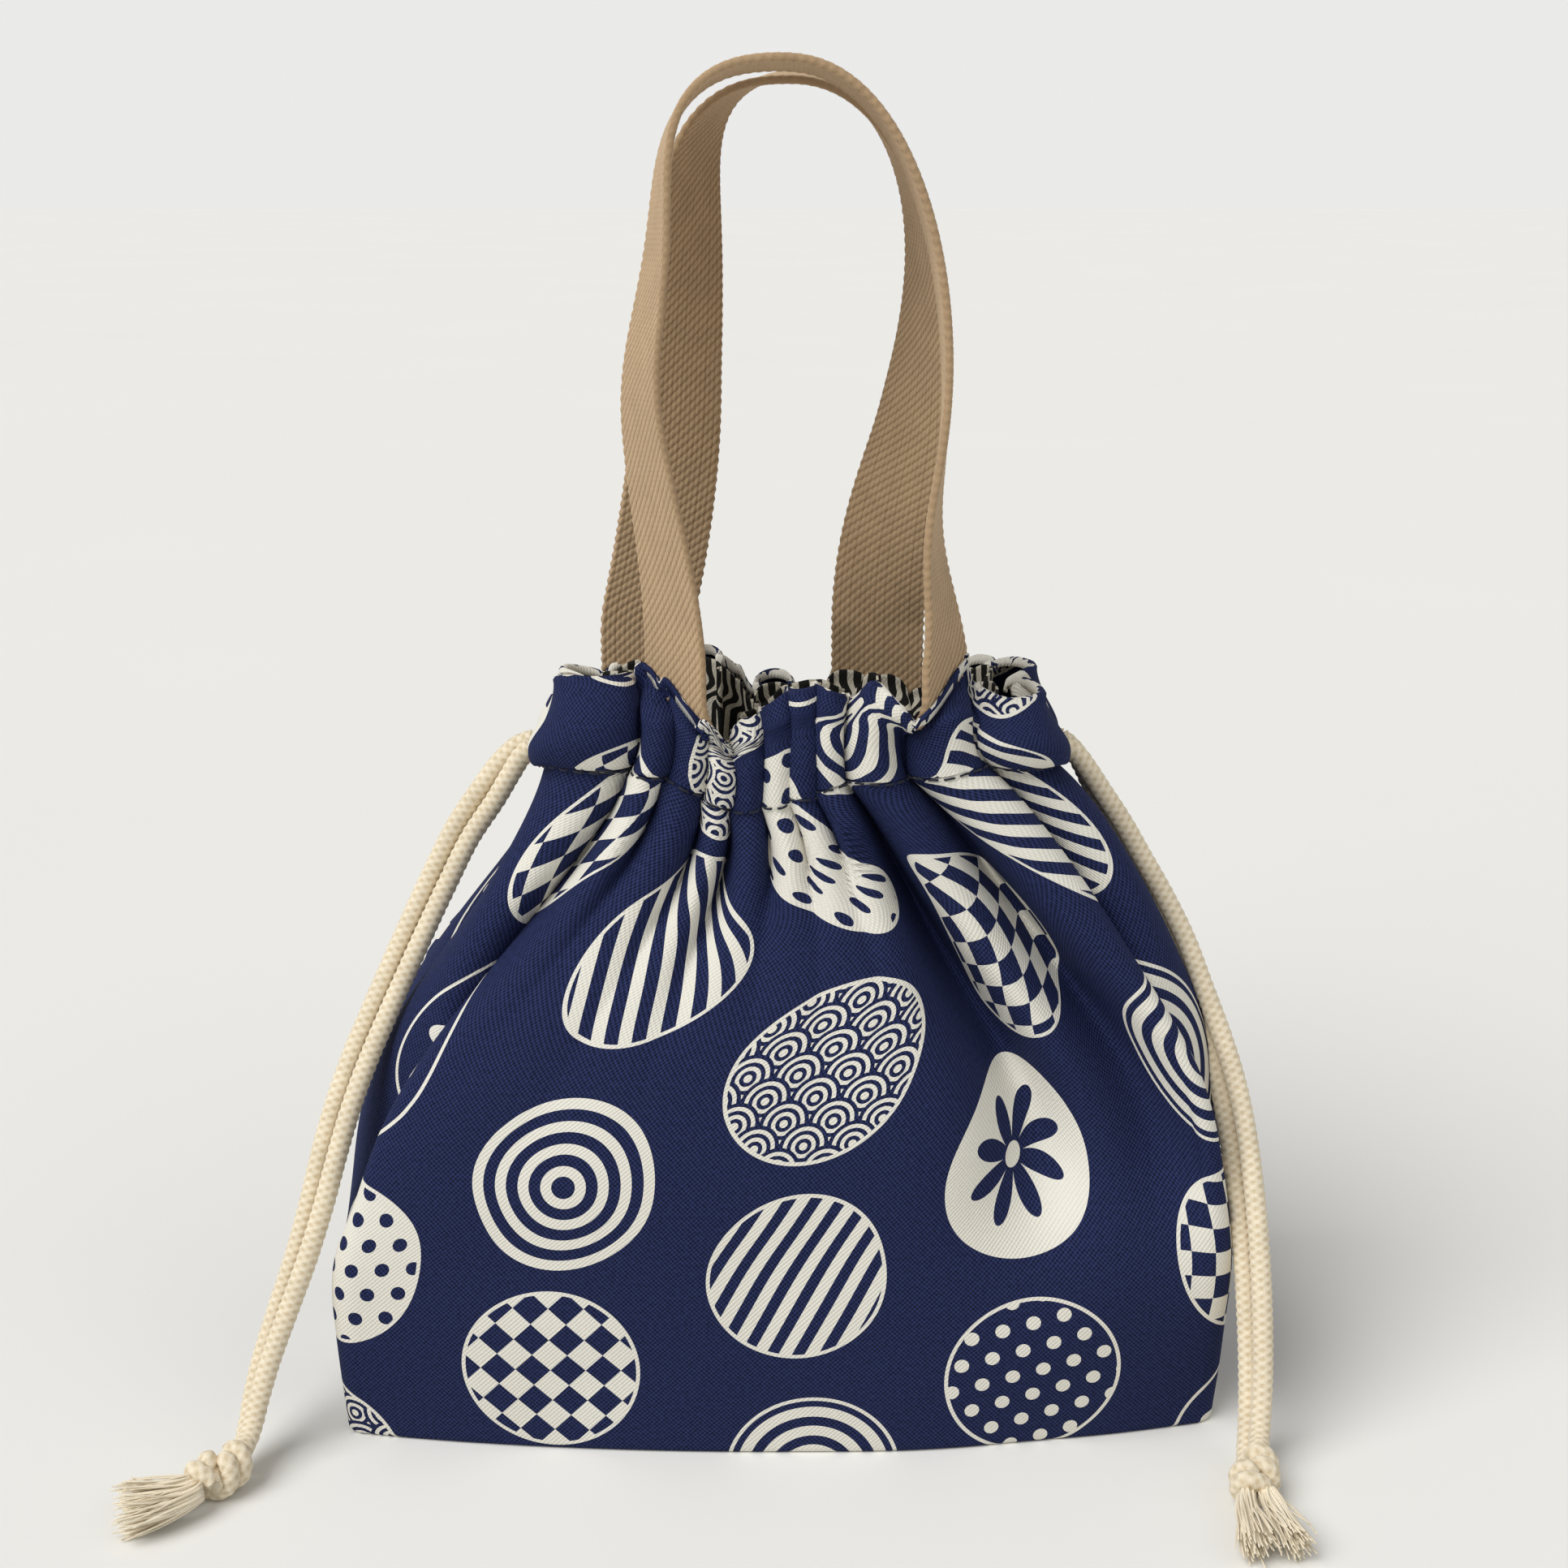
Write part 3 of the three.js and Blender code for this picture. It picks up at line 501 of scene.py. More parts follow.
class ClothPanel:
    """One gathered panel of the outer or the lining, laid in rows from the base to the rim."""

    seam = 0.3 * MM
    steepest_tuck = 3.2
    wall_tuck, tuck_fade, casing_tuck, turn_in_tuck = 0.55 * MM, 22 * MM, 0.65 * MM, 0.4 * MM
    neck_swell = 9.5 * MM
    bite_fade = 9 * MM
    calm_height, neck_calm = 0.03, 0.6
    crest_share = 0.4
    rise_from, rise_over = 0.7, 0.3
    half_webbing, webbing_grip, grip_fade = 12.5 * MM, 17 * MM, 6 * MM

    def __init__(self, side, layer, sizes, columns):
        self.side = side
        self.sizes = sizes
        self.columns = columns
        self.is_outer = layer == "outer"
        self.inset = 0.0 if self.is_outer else 2.4 * MM
        self.floor_level = 0.0 if self.is_outer else 2.2 * MM
        self.gathers = Gathers(side, sizes)
        self.base, self.wall, self.casing = panel_rows(sizes)
        self.raised, self.bite = stitch_line(self.gathers.mouth, side)
        self.seed = 3.7 if side == "front" else 11.2
        self.coarse = np.linspace(0, sizes.flat_width, 161)
        at = np.stack(np.meshgrid(self.coarse, self.wall), axis=-1)
        broad = 1.5 * MM * uneven(at, 62 * MM, self.seed)
        self.dents = broad + 0.55 * MM * uneven(at, 21 * MM, self.seed + 5)
        self.rows = []
        self.ups = []

    def laid(self):
        """Grid of points of the whole panel, and their places on the flat cloth."""
        half_base = self.sizes.base_depth / 2
        self.lay_casing(*self.lay_wall())
        grid = bowed(np.stack(self.base_rows() + self.rows), self.sizes)
        if self.side == "back":
            grid = grid * (1, -1, 1)
        flat = np.linspace(0, self.sizes.flat_width, self.columns + 1)
        ups = np.concatenate([self.base * half_base, half_base + np.array(self.ups)])
        return grid, np.stack(np.meshgrid(flat, ups), axis=-1)

    def row_line(self, z, section_z, opening, off, tuck):
        """Fine line of a row, which stands off the bag's outline, and the distance along it."""
        fraction = self.gathers.fraction(section_z)
        x, y, nx, ny, around = half_outline(body_section(section_z, self.sizes), opening, fraction)
        slope = np.gradient(off) / np.gradient(fraction * around)
        lateral = -tuck * np.clip(slope, -self.steepest_tuck, self.steepest_tuck)
        px = side_shift(section_z, self.sizes) + x + nx * off - ny * lateral
        py = y + ny * off + nx * lateral
        line = np.stack([px, py, np.broadcast_to(z, px.shape)], axis=1)
        return line, run_along(line)

    def place_row(self, up, *shape):
        """Adds a row of even points at a height on the flat cloth above the foot of the wall."""
        line, run = self.row_line(*shape)
        self.rows.append(points_at(np.linspace(0, run[-1], self.columns + 1), run, line))
        self.ups.append(up)

    def wall_row(self, k, share):
        """Shape of a row of the wall, with a share of the full fold depth."""
        gathers = self.gathers
        stitch_height = self.sizes.stitch_height
        z = self.wall[k]
        t = z / stitch_height
        edge_calm = np.sin(math.pi * gathers.flat / self.sizes.flat_width) ** 0.35
        calm = edge_calm * smooth_step(z / self.calm_height) * (1 - self.neck_calm * t ** 6)
        off = np.interp(gathers.flat, self.coarse, self.dents[k]) * calm - self.inset
        depth = gathers.depth(stitch_height - z, 0.0)
        bitten = self.bite * np.exp((z - stitch_height) / self.bite_fade)
        off = off + self.neck_swell * t ** 8 - bitten + share * (self.crest_share * depth.mean() - depth)
        tuck = self.wall_tuck * math.exp((z - stitch_height) / self.tuck_fade)
        rise = self.raised * smooth_step((t - self.rise_from) / self.rise_over)
        level = np.maximum(z + rise, self.floor_level)
        return level, z, self.seam, off, tuck

    def fold_shares(self):
        """Share of the full fold depth in each row of the wall.

        The cloth keeps its width, so its folds are as deep as the narrowing of the bag makes them.
        """
        shares = []
        for k, z in enumerate(self.wall):
            def is_short(share):
                return self.row_line(*self.wall_row(k, share))[1][-1] < self.gathers.laid_width(z)

            low, high = 0.0, self.gathers.most if is_short(0.0) else 0.0
            for _ in range(10):
                share = (low + high) / 2
                low, high = (share, high) if is_short(share) else (low, share)
            shares.append(share)
        near = np.exp(-((self.wall[:, None] - self.wall) / (16 * MM)) ** 2)
        return near @ np.array(shares) / near.sum(axis=1)

    def lay_wall(self):
        """Lays the rows of the wall; gives how far the topmost stands off, and its share of fold depth."""
        shares = self.fold_shares()
        for k, z in enumerate(self.wall):
            shape = self.wall_row(k, shares[k])
            self.place_row(z, *shape)
        return shape[3], shares[-1]

    def base_rows(self):
        """Rows from the middle line of the base to the foot of the wall."""
        hem = self.rows[0]
        wide, deep, _ = body_section(0, self.sizes)
        ridge = np.clip(hem[:, 0], deep - wide, wide - deep)
        middle_line = np.stack([ridge, np.zeros_like(ridge), np.full_like(ridge, self.floor_level)], axis=1)
        return [middle_line + (hem - middle_line) * share for share in self.base]

    def lay_casing(self, neck_off, neck_share):
        """Lays the rows of the casing: the outer swells over the cords, the lining hangs behind them."""
        sizes = self.sizes
        gathers = self.gathers
        coarse = self.coarse
        puffs = gathers.puffiness()
        casing_height = rim_heights(gathers, self.side) - sizes.stitch_height
        ends = np.abs(gathers.mouth / gathers.mouth_half - 0.5) * 2
        flare_from, flare_over = 0.55, 0.3
        flare = smooth_step((ends - flare_from) / flare_over)
        lumps_at = np.stack([coarse, coarse * 0], axis=1)
        lumps = np.interp(gathers.flat, coarse, uneven(lumps_at, 19 * MM, self.seed + 9))
        swell, end_swell, lump_swell = 11.0, 4.2, 2.2
        fullest = (swell + end_swell * flare + lump_swell * lumps * (1 - ends)) * MM
        crumples_at = np.stack(np.meshgrid(coarse, self.casing * 26 * MM), axis=-1)
        crumples = 0.8 * MM * uneven(crumples_at, 11 * MM, self.seed + 17)
        neck_crest = neck_off + neck_share * gathers.depth(0.0, 0.0)
        rim_lean, lining_back = 2.6 * MM, 5.7 * MM
        for level, crumpled in zip(self.casing, crumples):
            share = neck_share + (1 - neck_share) * smooth_step(level / 0.4)
            depth = share * gathers.depth(0.0, level)
            z = sizes.stitch_height + self.raised + (casing_height - self.raised) * level
            if self.is_outer:
                z = z - 0.9 * self.bite * puffs * math.exp(-((level - 0.15) / 0.1) ** 2)
                belly = np.sin(math.pi * level ** (1 - 0.42 * flare)) ** (1 + 0.7 * flare)
                crest = neck_crest + (fullest - neck_crest) * belly - rim_lean * level ** 3
                off = over_cords(crest - depth + np.interp(gathers.flat, coarse, crumpled), level)
                opening = self.seam + sizes.cord_slit * math.sin(math.pi * level) ** 0.7
            else:
                settled = -lining_back - 0.4 * depth
                off = neck_off + (settled - neck_off) * smooth_step(level / 0.2)
                opening = self.seam
            off = self.against_webbing(off, level, sizes.stitch_height + casing_height * level)
            up = sizes.stitch_height + (sizes.rim_height - sizes.stitch_height) * level
            self.place_row(up, z, sizes.stitch_height, opening, off, self.casing_tuck)
        if self.is_outer:
            turn_in = np.array([(0.5, 0.8), (1.4, 1.1), (2.3, 0.6), (2.8, -1.4)]) * MM
            for inward, rise in turn_in:
                shape = (z + rise, sizes.stitch_height, opening, off - inward, self.turn_in_tuck)
                self.place_row(sizes.rim_height + inward, *shape)

    def against_webbing(self, off, level, height):
        """A row of the casing that lies against the handles' sewn-in ends near the rim."""
        clearance = (2.2 if self.is_outer else -2.4) * MM
        held_up = smooth_step((level - 0.6) / 0.3)
        for foot, inner, foot_twist in strap_feet(self.side, self.sizes):
            twist = foot_twist * foot_turn(height)
            beside = (self.gathers.mouth - foot) * inner
            reach = self.half_webbing * np.sin(twist)
            lying = np.clip(beside * np.tan(twist), -reach, reach) + clearance
            held = smooth_step((self.webbing_grip - np.abs(beside)) / self.grip_fade) * held_up
            off = off + (lying - off) * held
        return off


def over_cords(off, level):
    """A row of the casing kept clear of the cords inside it, with a soft limit."""
    softness, above_cords, below_neck, below_rim = 0.8 * MM, 2.0 * MM, 9 * MM, 1.0 * MM
    least = above_cords * smooth_step((level - 0.05) / 0.08) * smooth_step((0.8 - level) / 0.15)
    least = least - below_neck * (1 - smooth_step(level / 0.1)) - below_rim * smooth_step((level - 0.7) / 0.2)
    return least + np.logaddexp(0, (off - least) / softness) * softness


# Materials

def connect(tree, node, inputs):
    """Sets a node's inputs, which are nodes, sockets or plain values."""
    for socket, source in inputs.items():
        if isinstance(source, bpy.types.Node):
            source = next(output for output in source.outputs if output.enabled)
        if isinstance(source, bpy.types.NodeSocket):
            tree.links.new(source, node.inputs[socket])
        else:
            node.inputs[socket].default_value = source


def add(tree, kind, *inputs, **settings):
    """One shader node, such as "Math ADD", with its settings and its inputs, in order or in a dict."""
    kind, _, operation = kind.partition(" ")
    made = tree.nodes.new("ShaderNode" + kind)
    if operation:
        made.operation = operation
    for key, value in settings.items():
        setattr(made, key, value)
    by_name = inputs and isinstance(inputs[0], dict)
    connect(tree, made, inputs[0] if by_name else dict(enumerate(inputs)))
    return made


def new_material(name):
    """An empty node material, its shader, and what adds and connects its nodes."""
    material = bpy.data.materials.new(name)
    material.use_nodes = True
    tree = material.node_tree
    return material, partial(add, tree), partial(connect, tree, tree.nodes["Principled BSDF"])


def opaque(rgb):
    """A colour with full alpha."""
    return (*rgb, 1.0)


def staggered(node, x, y, cell):
    """Place among cells whose rows are set off by half a cell: widths across, and part of the height."""
    row_at = node("Math DIVIDE", y, cell[1])
    across = node("Math DIVIDE", x, cell[0])
    return node("Math MULTIPLY_ADD", node("Math FLOOR", row_at), 0.5, across), node("Math FRACT", row_at)


def away_from(node, middle, across, up, cell):
    """Millimetres from a place in a cell."""
    part = node("CombineXYZ", node("Math FRACT", across), up, 0.0)
    offset = node("VectorMath SUBTRACT", part, middle)
    return node("VectorMath LENGTH", node("VectorMath MULTIPLY", offset, cell))


def roundel_print(node, flat_mm):
    """Where the print is: roundels 46 mm across in a half-drop layout, each with a plain filling.

    Every second one is a pale disc with a dark filling, the others are outlined with a pale filling.
    """
    pitch_x, pitch_y, radius, line = 62.0, 55.0, 23.0, 1.0
    place = node("SeparateXYZ", node("VectorMath SUBTRACT", flat_mm, (23.0, 27.5, 0.0)))
    column_at = node("Math DIVIDE", place.outputs[0], pitch_x)
    column = node("Math FLOOR", column_at)
    odd = node("Math FLOORED_MODULO", column, 2.0)
    row_at = node("Math DIVIDE", node("Math MULTIPLY_ADD", odd, pitch_y / 2, place.outputs[1]), pitch_y)
    row = node("Math FLOOR", row_at)
    chance = node("TexWhiteNoise", {"Vector": node("CombineXYZ", column, row, 0.0)}, noise_dimensions="2D")
    within = node("CombineXYZ", node("Math FRACT", column_at), node("Math FRACT", row_at), 0.0)
    centred = node("VectorMath SUBTRACT", within, (0.5, 0.5, 0.0))
    scaled = node("VectorMath MULTIPLY", centred, (pitch_x, pitch_y, 0.0))
    nudge = node("VectorMath SUBTRACT", chance.outputs["Color"], (0.5, 0.5, 0.5))
    local = node("VectorMath MULTIPLY_ADD", nudge, (11.0, 7.0, 0.0), scaled)
    angle = node("Math MULTIPLY", chance.outputs["Value"], 2 * math.pi)
    turned = node("VectorRotate", {"Vector": local, "Angle": angle}, rotation_type="Z_AXIS")
    x, y, _ = node("SeparateXYZ", turned).outputs
    reach = node("VectorMath LENGTH", node("VectorMath MULTIPLY", local, (1.0, 1.0, 0.0)))

    stripe_side = node("Math SINE", node("Math MULTIPLY", x, 2 * math.pi / 6.0))
    stripes = node("Math GREATER_THAN", stripe_side, 0.05)
    checks = node("TexChecker", {"Vector": turned, "Scale": 1 / 6.4}).outputs["Fac"]
    rings = node("Math LESS_THAN", node("Math FRACT", node("Math DIVIDE", reach, 5.75)), 0.52)

    cell = (8.0, 7.0, 0.0)
    dots = node("Math LESS_THAN", away_from(node, (0.5, 0.5, 0.0), *staggered(node, x, y, cell), cell), 1.9)

    scale = (12.0, 6.0, 0.0)
    foot = (0.5, 0.0, 0.0)
    across, up = staggered(node, x, y, scale)
    before = away_from(node, foot, across, up, scale)
    next_across, next_up = node("Math ADD", across, 0.5), node("Math SUBTRACT", up, 1.0)
    behind = away_from(node, foot, next_across, next_up, scale)
    outside = node("Math GREATER_THAN", before, scale[1])
    shell = node("Mix", {0: outside, 2: before, 3: behind}, data_type="FLOAT")
    scales = node("Math LESS_THAN", node("Math FRACT", node("Math DIVIDE", shell, 2.0)), 0.5)

    petal_wave = node("Math COSINE", node("Math MULTIPLY", node("Math ARCTAN2", y, x), 4.0))
    petal_edge = node("Math MULTIPLY_ADD", node("Math ABSOLUTE", petal_wave), 12.0, 4.0)
    petals = node("Math LESS_THAN", reach, petal_edge)
    rosette = node("Math MULTIPLY", petals, node("Math GREATER_THAN", reach, 3.0))

    fillings = (scales, dots, rosette, checks, rings, stripes)
    turn = node("Math MULTIPLY_ADD", column, 2.0, row)
    index = node("Math FLOORED_MODULO", turn, float(len(fillings)))
    filling = 0.0
    for number, mask in enumerate(fillings):
        chosen = node("Math COMPARE", index, float(number), 0.5)
        filling = node("Math MULTIPLY_ADD", chosen, mask, filling)
    disc = node("Math LESS_THAN", reach, radius)
    inner = node("Math LESS_THAN", reach, radius - line)
    inside = node("Math MULTIPLY", filling, inner)
    pale_filling = node("Math ADD", node("Math SUBTRACT", disc, inner), inside)
    dark_filling = node("Math SUBTRACT", disc, inside)
    variety = node("Math FLOORED_MODULO", node("Math ADD", column, row), 2.0)
    return node("Mix", {0: variety, 2: pale_filling, 3: dark_filling}, data_type="FLOAT")


def plain_weave(node, flat_mm, pitch):
    """Height of a plain weave, -1 to 1, whose threads lie pitch millimetres apart."""
    scaled = node("VectorMath MULTIPLY", flat_mm, (math.pi / pitch,) * 3)
    warp, weft, _ = node("SeparateXYZ", scaled).outputs
    return node("Math MULTIPLY", node("Math SINE", warp), node("Math SINE", weft))


def flat_millimetres(node):
    """Place on the flat cloth in millimetres."""
    return node("VectorMath MULTIPLY", node("UVMap", uv_map="flat"), (1000.0,) * 3)


def canvas_material(colours, sizes):
    """Cotton canvas, plain woven from coarse yarn and screen printed.

    It gives the eye a dull navy ground with pale specks between the yarns and a chalky print.
    """
    material, node, shade = new_material("screen-printed cotton canvas")
    flat_mm = flat_millimetres(node)
    rim = (sizes.base_depth / 2 + sizes.rim_height) / MM
    up = node("SeparateXYZ", flat_mm).outputs[1]
    fray = node("TexNoise", {"Vector": flat_mm, "Scale": 0.12, "Detail": 2.0})
    edge = node("Math GREATER_THAN", node("Math MULTIPLY_ADD", fray, 9.0, up), rim + 6.2)
    pale = node("Math MAXIMUM", roundel_print(node, flat_mm), edge)
    # yarns of the real canvas lie about 0.6 mm apart
    weave = plain_weave(node, flat_mm, 0.62)
    slub = node("TexNoise", {"Vector": flat_mm, "Scale": 0.9, "Detail": 3.0})
    # painted shade between the yarns and painted light on their tops follow the weave; the slub noise adds
    # the yarn's own random tone
    weave_shade_and_slub = node("Math MULTIPLY_ADD", weave, 0.6, slub)
    ground_tones = {0: weave_shade_and_slub, 6: opaque(colours.canvas), 7: opaque(colours.yarn)}
    ground = node("Mix", ground_tones, data_type="RGBA", clamp_factor=True)
    faded = node("TexNoise", {"Vector": flat_mm, "Scale": 0.022, "Detail": 2.0})
    print_tones = {0: faded, 6: opaque(colours.print), 7: opaque(linear("#e0dccf"))}
    print_tone = node("Mix", print_tones, data_type="RGBA")
    shaded = node("Math MULTIPLY_ADD", weave, 0.05, 0.95)
    print_threads = node("VectorMath SCALE", {0: print_tone, "Scale": shaded})
    relief = node("Math MULTIPLY_ADD", slub, 0.8, weave)
    shade({
        "Base Color": node("Mix", {0: pale, 6: ground, 7: print_threads}, data_type="RGBA"),
        "Roughness": node("Math MULTIPLY_ADD", slub, 0.12, 0.8),
        "Normal": node("Bump", {"Height": relief, "Strength": 0.5, "Distance": 0.22 * MM}),
        "IOR": 1.47, "Specular IOR Level": 0.1,
    })
    return material


def lining_material(colours):
    """Yarn-dyed cotton, plain woven in vertical stripes: crisp dark and cream bands with no gloss."""
    material, node, shade = new_material("yarn-dyed striped cotton")
    flat_mm = flat_millimetres(node)
    across = node("SeparateXYZ", flat_mm).outputs[0]
    # one dark and one pale stripe repeat every 6.4 mm
    pale = node("Math LESS_THAN", node("Math FRACT", node("Math DIVIDE", across, 6.4)), 0.42)
    weave = plain_weave(node, flat_mm, 0.9)
    stripe_tones = {0: pale, 6: opaque(colours.stripe_dark), 7: opaque(colours.stripe_pale)}
    striped = node("Mix", stripe_tones, data_type="RGBA")
    shaded = node("Math MULTIPLY_ADD", weave, 0.1, 0.92)
    shade({
        "Base Color": node("VectorMath SCALE", {0: striped, "Scale": shaded}),
        "Normal": node("Bump", {"Height": weave, "Strength": 0.4, "Distance": 0.15 * MM}),
        "Roughness": 0.9, "IOR": 1.47, "Specular IOR Level": 0.2,
    })
    return material


def yarn_material(name, raised, groove, roughness):
    """Cotton yarn, woven or braided: pale raised threads, shaded grooves, and fine fibres across both."""
    material, node, shade = new_material(name)
    height = node("Attribute", attribute_name="thread_height", attribute_type="GEOMETRY").outputs["Fac"]
    place = node("TexCoord").outputs["Object"]
    # fibres of the real yarn are too fine to show, so they are drawn about 0.5 mm apart
    fibre = node("TexNoise", {"Vector": place, "Scale": 2000.0, "Detail": 2.0})
    patchy = node("TexNoise", {"Vector": place, "Scale": 140.0, "Detail": 1.0})
    steep = node("MapRange", height, 0.15, 0.75, 0.0, 1.0)
    threads = node("Mix", {0: steep, 6: opaque(groove), 7: opaque(raised)}, data_type="RGBA")
    varied = node("Math MULTIPLY_ADD", fibre, 0.3, 0.72)
    mottled = node("Math MULTIPLY_ADD", patchy, 0.22, varied)
    shade({
        "Base Color": node("VectorMath SCALE", {0: threads, "Scale": mottled}),
        "Normal": node("Bump", {"Height": fibre, "Strength": 0.35, "Distance": 0.2 * MM}),
        "Roughness": roughness, "IOR": 1.47, "Specular IOR Level": 0.25, "Sheen Weight": 0.1,
    })
    return material


def floor_material(colours):
    """Matt card: a pale, even surface with a faint unevenness."""
    material, node, shade = new_material("matt card")
    place = node("TexCoord").outputs["Object"]
    cloudy = node("TexNoise", {"Vector": place, "Scale": 3.0, "Detail": 1.0})
    tone = node("Math MULTIPLY_ADD", cloudy, 0.03, 0.985)
    toned = node("VectorMath SCALE", {0: colours.floor, "Scale": tone})
    shade({"Base Color": toned, "Roughness": 0.9, "Specular IOR Level": 0.1})
    return material


# Operators

class BAG_OT_stage(bpy.types.Operator):
    """Makes the pale floor, the soft studio light and the camera"""

    bl_idname = "bag.stage"
    bl_label = "Stage"

    def execute(self, context):
        scene = context.scene
        scene.view_settings.view_transform = "Standard"
        corners = np.linspace(-9.0, 9.0, 3)
        ground = np.stack(np.meshgrid(corners, corners, [0.0]), axis=-1)[:, :, 0]
        floor = build_mesh("floor", [ground], floor_material(scene.bag_colours))

        world = bpy.data.worlds.new("studio")
        scene.world = world
        world.use_nodes = True
        tree = world.node_tree
        path = add(tree, "LightPath")
        backdrop = path.outputs["Is Camera Ray"]
        for ray in ("Is Glossy Ray", "Is Transmission Ray"):
            backdrop = add(tree, "Math MAXIMUM", backdrop, path.outputs[ray])
        lighting, showing = 0.33, 0.855
        seen = add(tree, "Mix", {0: backdrop, 2: lighting, 3: showing}, data_type="FLOAT")
        connect(tree, tree.nodes["Background"], {"Color": opaque(linear("#fbfbfa")), "Strength": seen})

        # broad soft key from the upper left front, weaker fill from the right, like large window panes
        lamps = (
            ("key", (-0.85, -0.68, 1.3), 2.5, 45),
            ("fill", (0.9, -0.5, 0.9), 0.3, 40),
        )
        for name, place, strength, softness in lamps:
            light = bpy.data.lights.new(name, "SUN")
            light.energy = strength
            light.angle = math.radians(softness)
            lamp = bpy.data.objects.new(name, light)
            lamp.location = place
            lamp.rotation_euler = (-Vector(place)).to_track_quat("-Z", "Y").to_euler()
            scene.collection.objects.link(lamp)

        camera = bpy.data.cameras.new("camera")
        camera.sensor_width = 36.0
        camera.lens = 50.76
        eye = bpy.data.objects.new("camera", camera)
        eye.location = (0.0, -0.567, 0.334)
        looking_down, looking_right = 16.58, 0.084
        eye.rotation_euler = (math.radians(90 - looking_down), 0.0, math.radians(-looking_right))
        scene.collection.objects.link(eye)
        scene.camera = eye
        return {"FINISHED"}


def strand_line(route, lay, which, sizes):
    """Middle line of one free strand of a pair, in metres."""
    offset = (sizes.diameter + sizes.pair_gap) / 2 * (1 if which == "front" else -1)
    route = np.array(route, float) * MM
    along = tangents_of(route)
    side = unit(np.cross(FRONT_VIEW, along))
    ahead = np.cross(along, side)
    turn = np.radians(np.interp(np.linspace(0, 1, len(route)), LAY_PLACES, lay))[:, None]
    return smooth_line(route + offset * (np.cos(turn) * side + np.sin(turn) * ahead), 0.55 * MM)


def knot_lines(start, heading, sizes):
    """Middle lines of a knot: two cords that wind side by side round the core and pull through."""
    axis = unit(heading)
    flat_side = unit(np.cross(axis, (0, 0, 1)))
    top_side = np.cross(flat_side, axis)
    gap = sizes.diameter * 0.52
    turns, wound_radius, step = 1.3, 4.2 * MM, 0.6 * MM
    lines = [smooth_line([start + axis * sizes.knot_length * t for t in (0.1, 0.5, 0.9)], step)]
    for sign in (-1, 1):
        points = []
        for t in np.linspace(0, 1, 44):
            winding = smooth_step((t - 0.04) / 0.16) * smooth_step((0.96 - t) / 0.16)
            turn = 2 * math.pi * turns * t + 0.6
            along = sizes.knot_length * (0.14 + 0.7 * t) - sign * gap * 0.8 * winding
            wound = wound_radius * winding * (flat_side * math.cos(turn) + top_side * math.sin(turn))
            beside = sign * gap * (1 - winding) * (top_side * (1 - t) + flat_side * t)
            points.append(start + axis * along + wound + beside)
        lines.append(smooth_line(points, step))
    return lines


def tassel_lines(start, heading, tassel_heading, sizes, seed):
    """Middle lines of the loose yarns below a knot: two frayed ends that bend away and spread."""
    chance = np.random.default_rng(seed)
    axis = unit(heading)
    away = unit(tassel_heading)
    stiff_length = 6.4 * MM
    elbow = start + axis * stiff_length
    flat_side = unit(np.cross(away, (0, 0, 1)))
    top_side = np.cross(flat_side, away)
    lines = []
    yarn_count = 190
    for number in range(yarn_count):
        end_of = -1 if number % 2 else 1
        turn = chance.uniform(0, 2 * math.pi)
        at_neck = sizes.diameter * 0.42 * math.sqrt(chance.uniform(0, 1))
        spread = 1.95 + chance.normal(0, 0.35)
        reach = sizes.tassel_length - stiff_length + chance.normal(0, 1.4 * MM)
        curl = chance.normal(0, 1.0, 2) * MM
        points = []
        for t in np.linspace(0, 1, 9):
            middle = (1 - t) ** 2 * start + 2 * t * (1 - t) * elbow + t ** 2 * (elbow + away * reach)
            wide = at_neck * (1 + (spread - 1) * t ** 2)
            split = end_of * (sizes.diameter * 0.46 + 2.2 * MM * t)
            waved = curl * math.sin(3.4 * t + number) * t
            point = (
                middle + flat_side * (split + wide * math.cos(turn) + waved[0])
                + top_side * (wide * math.sin(turn) + waved[1])
            )
            point[2] = max(point[2], 0.7 * MM)
            points.append(point)
        lines.append(smooth_line(points, 1.6 * MM))
    return lines


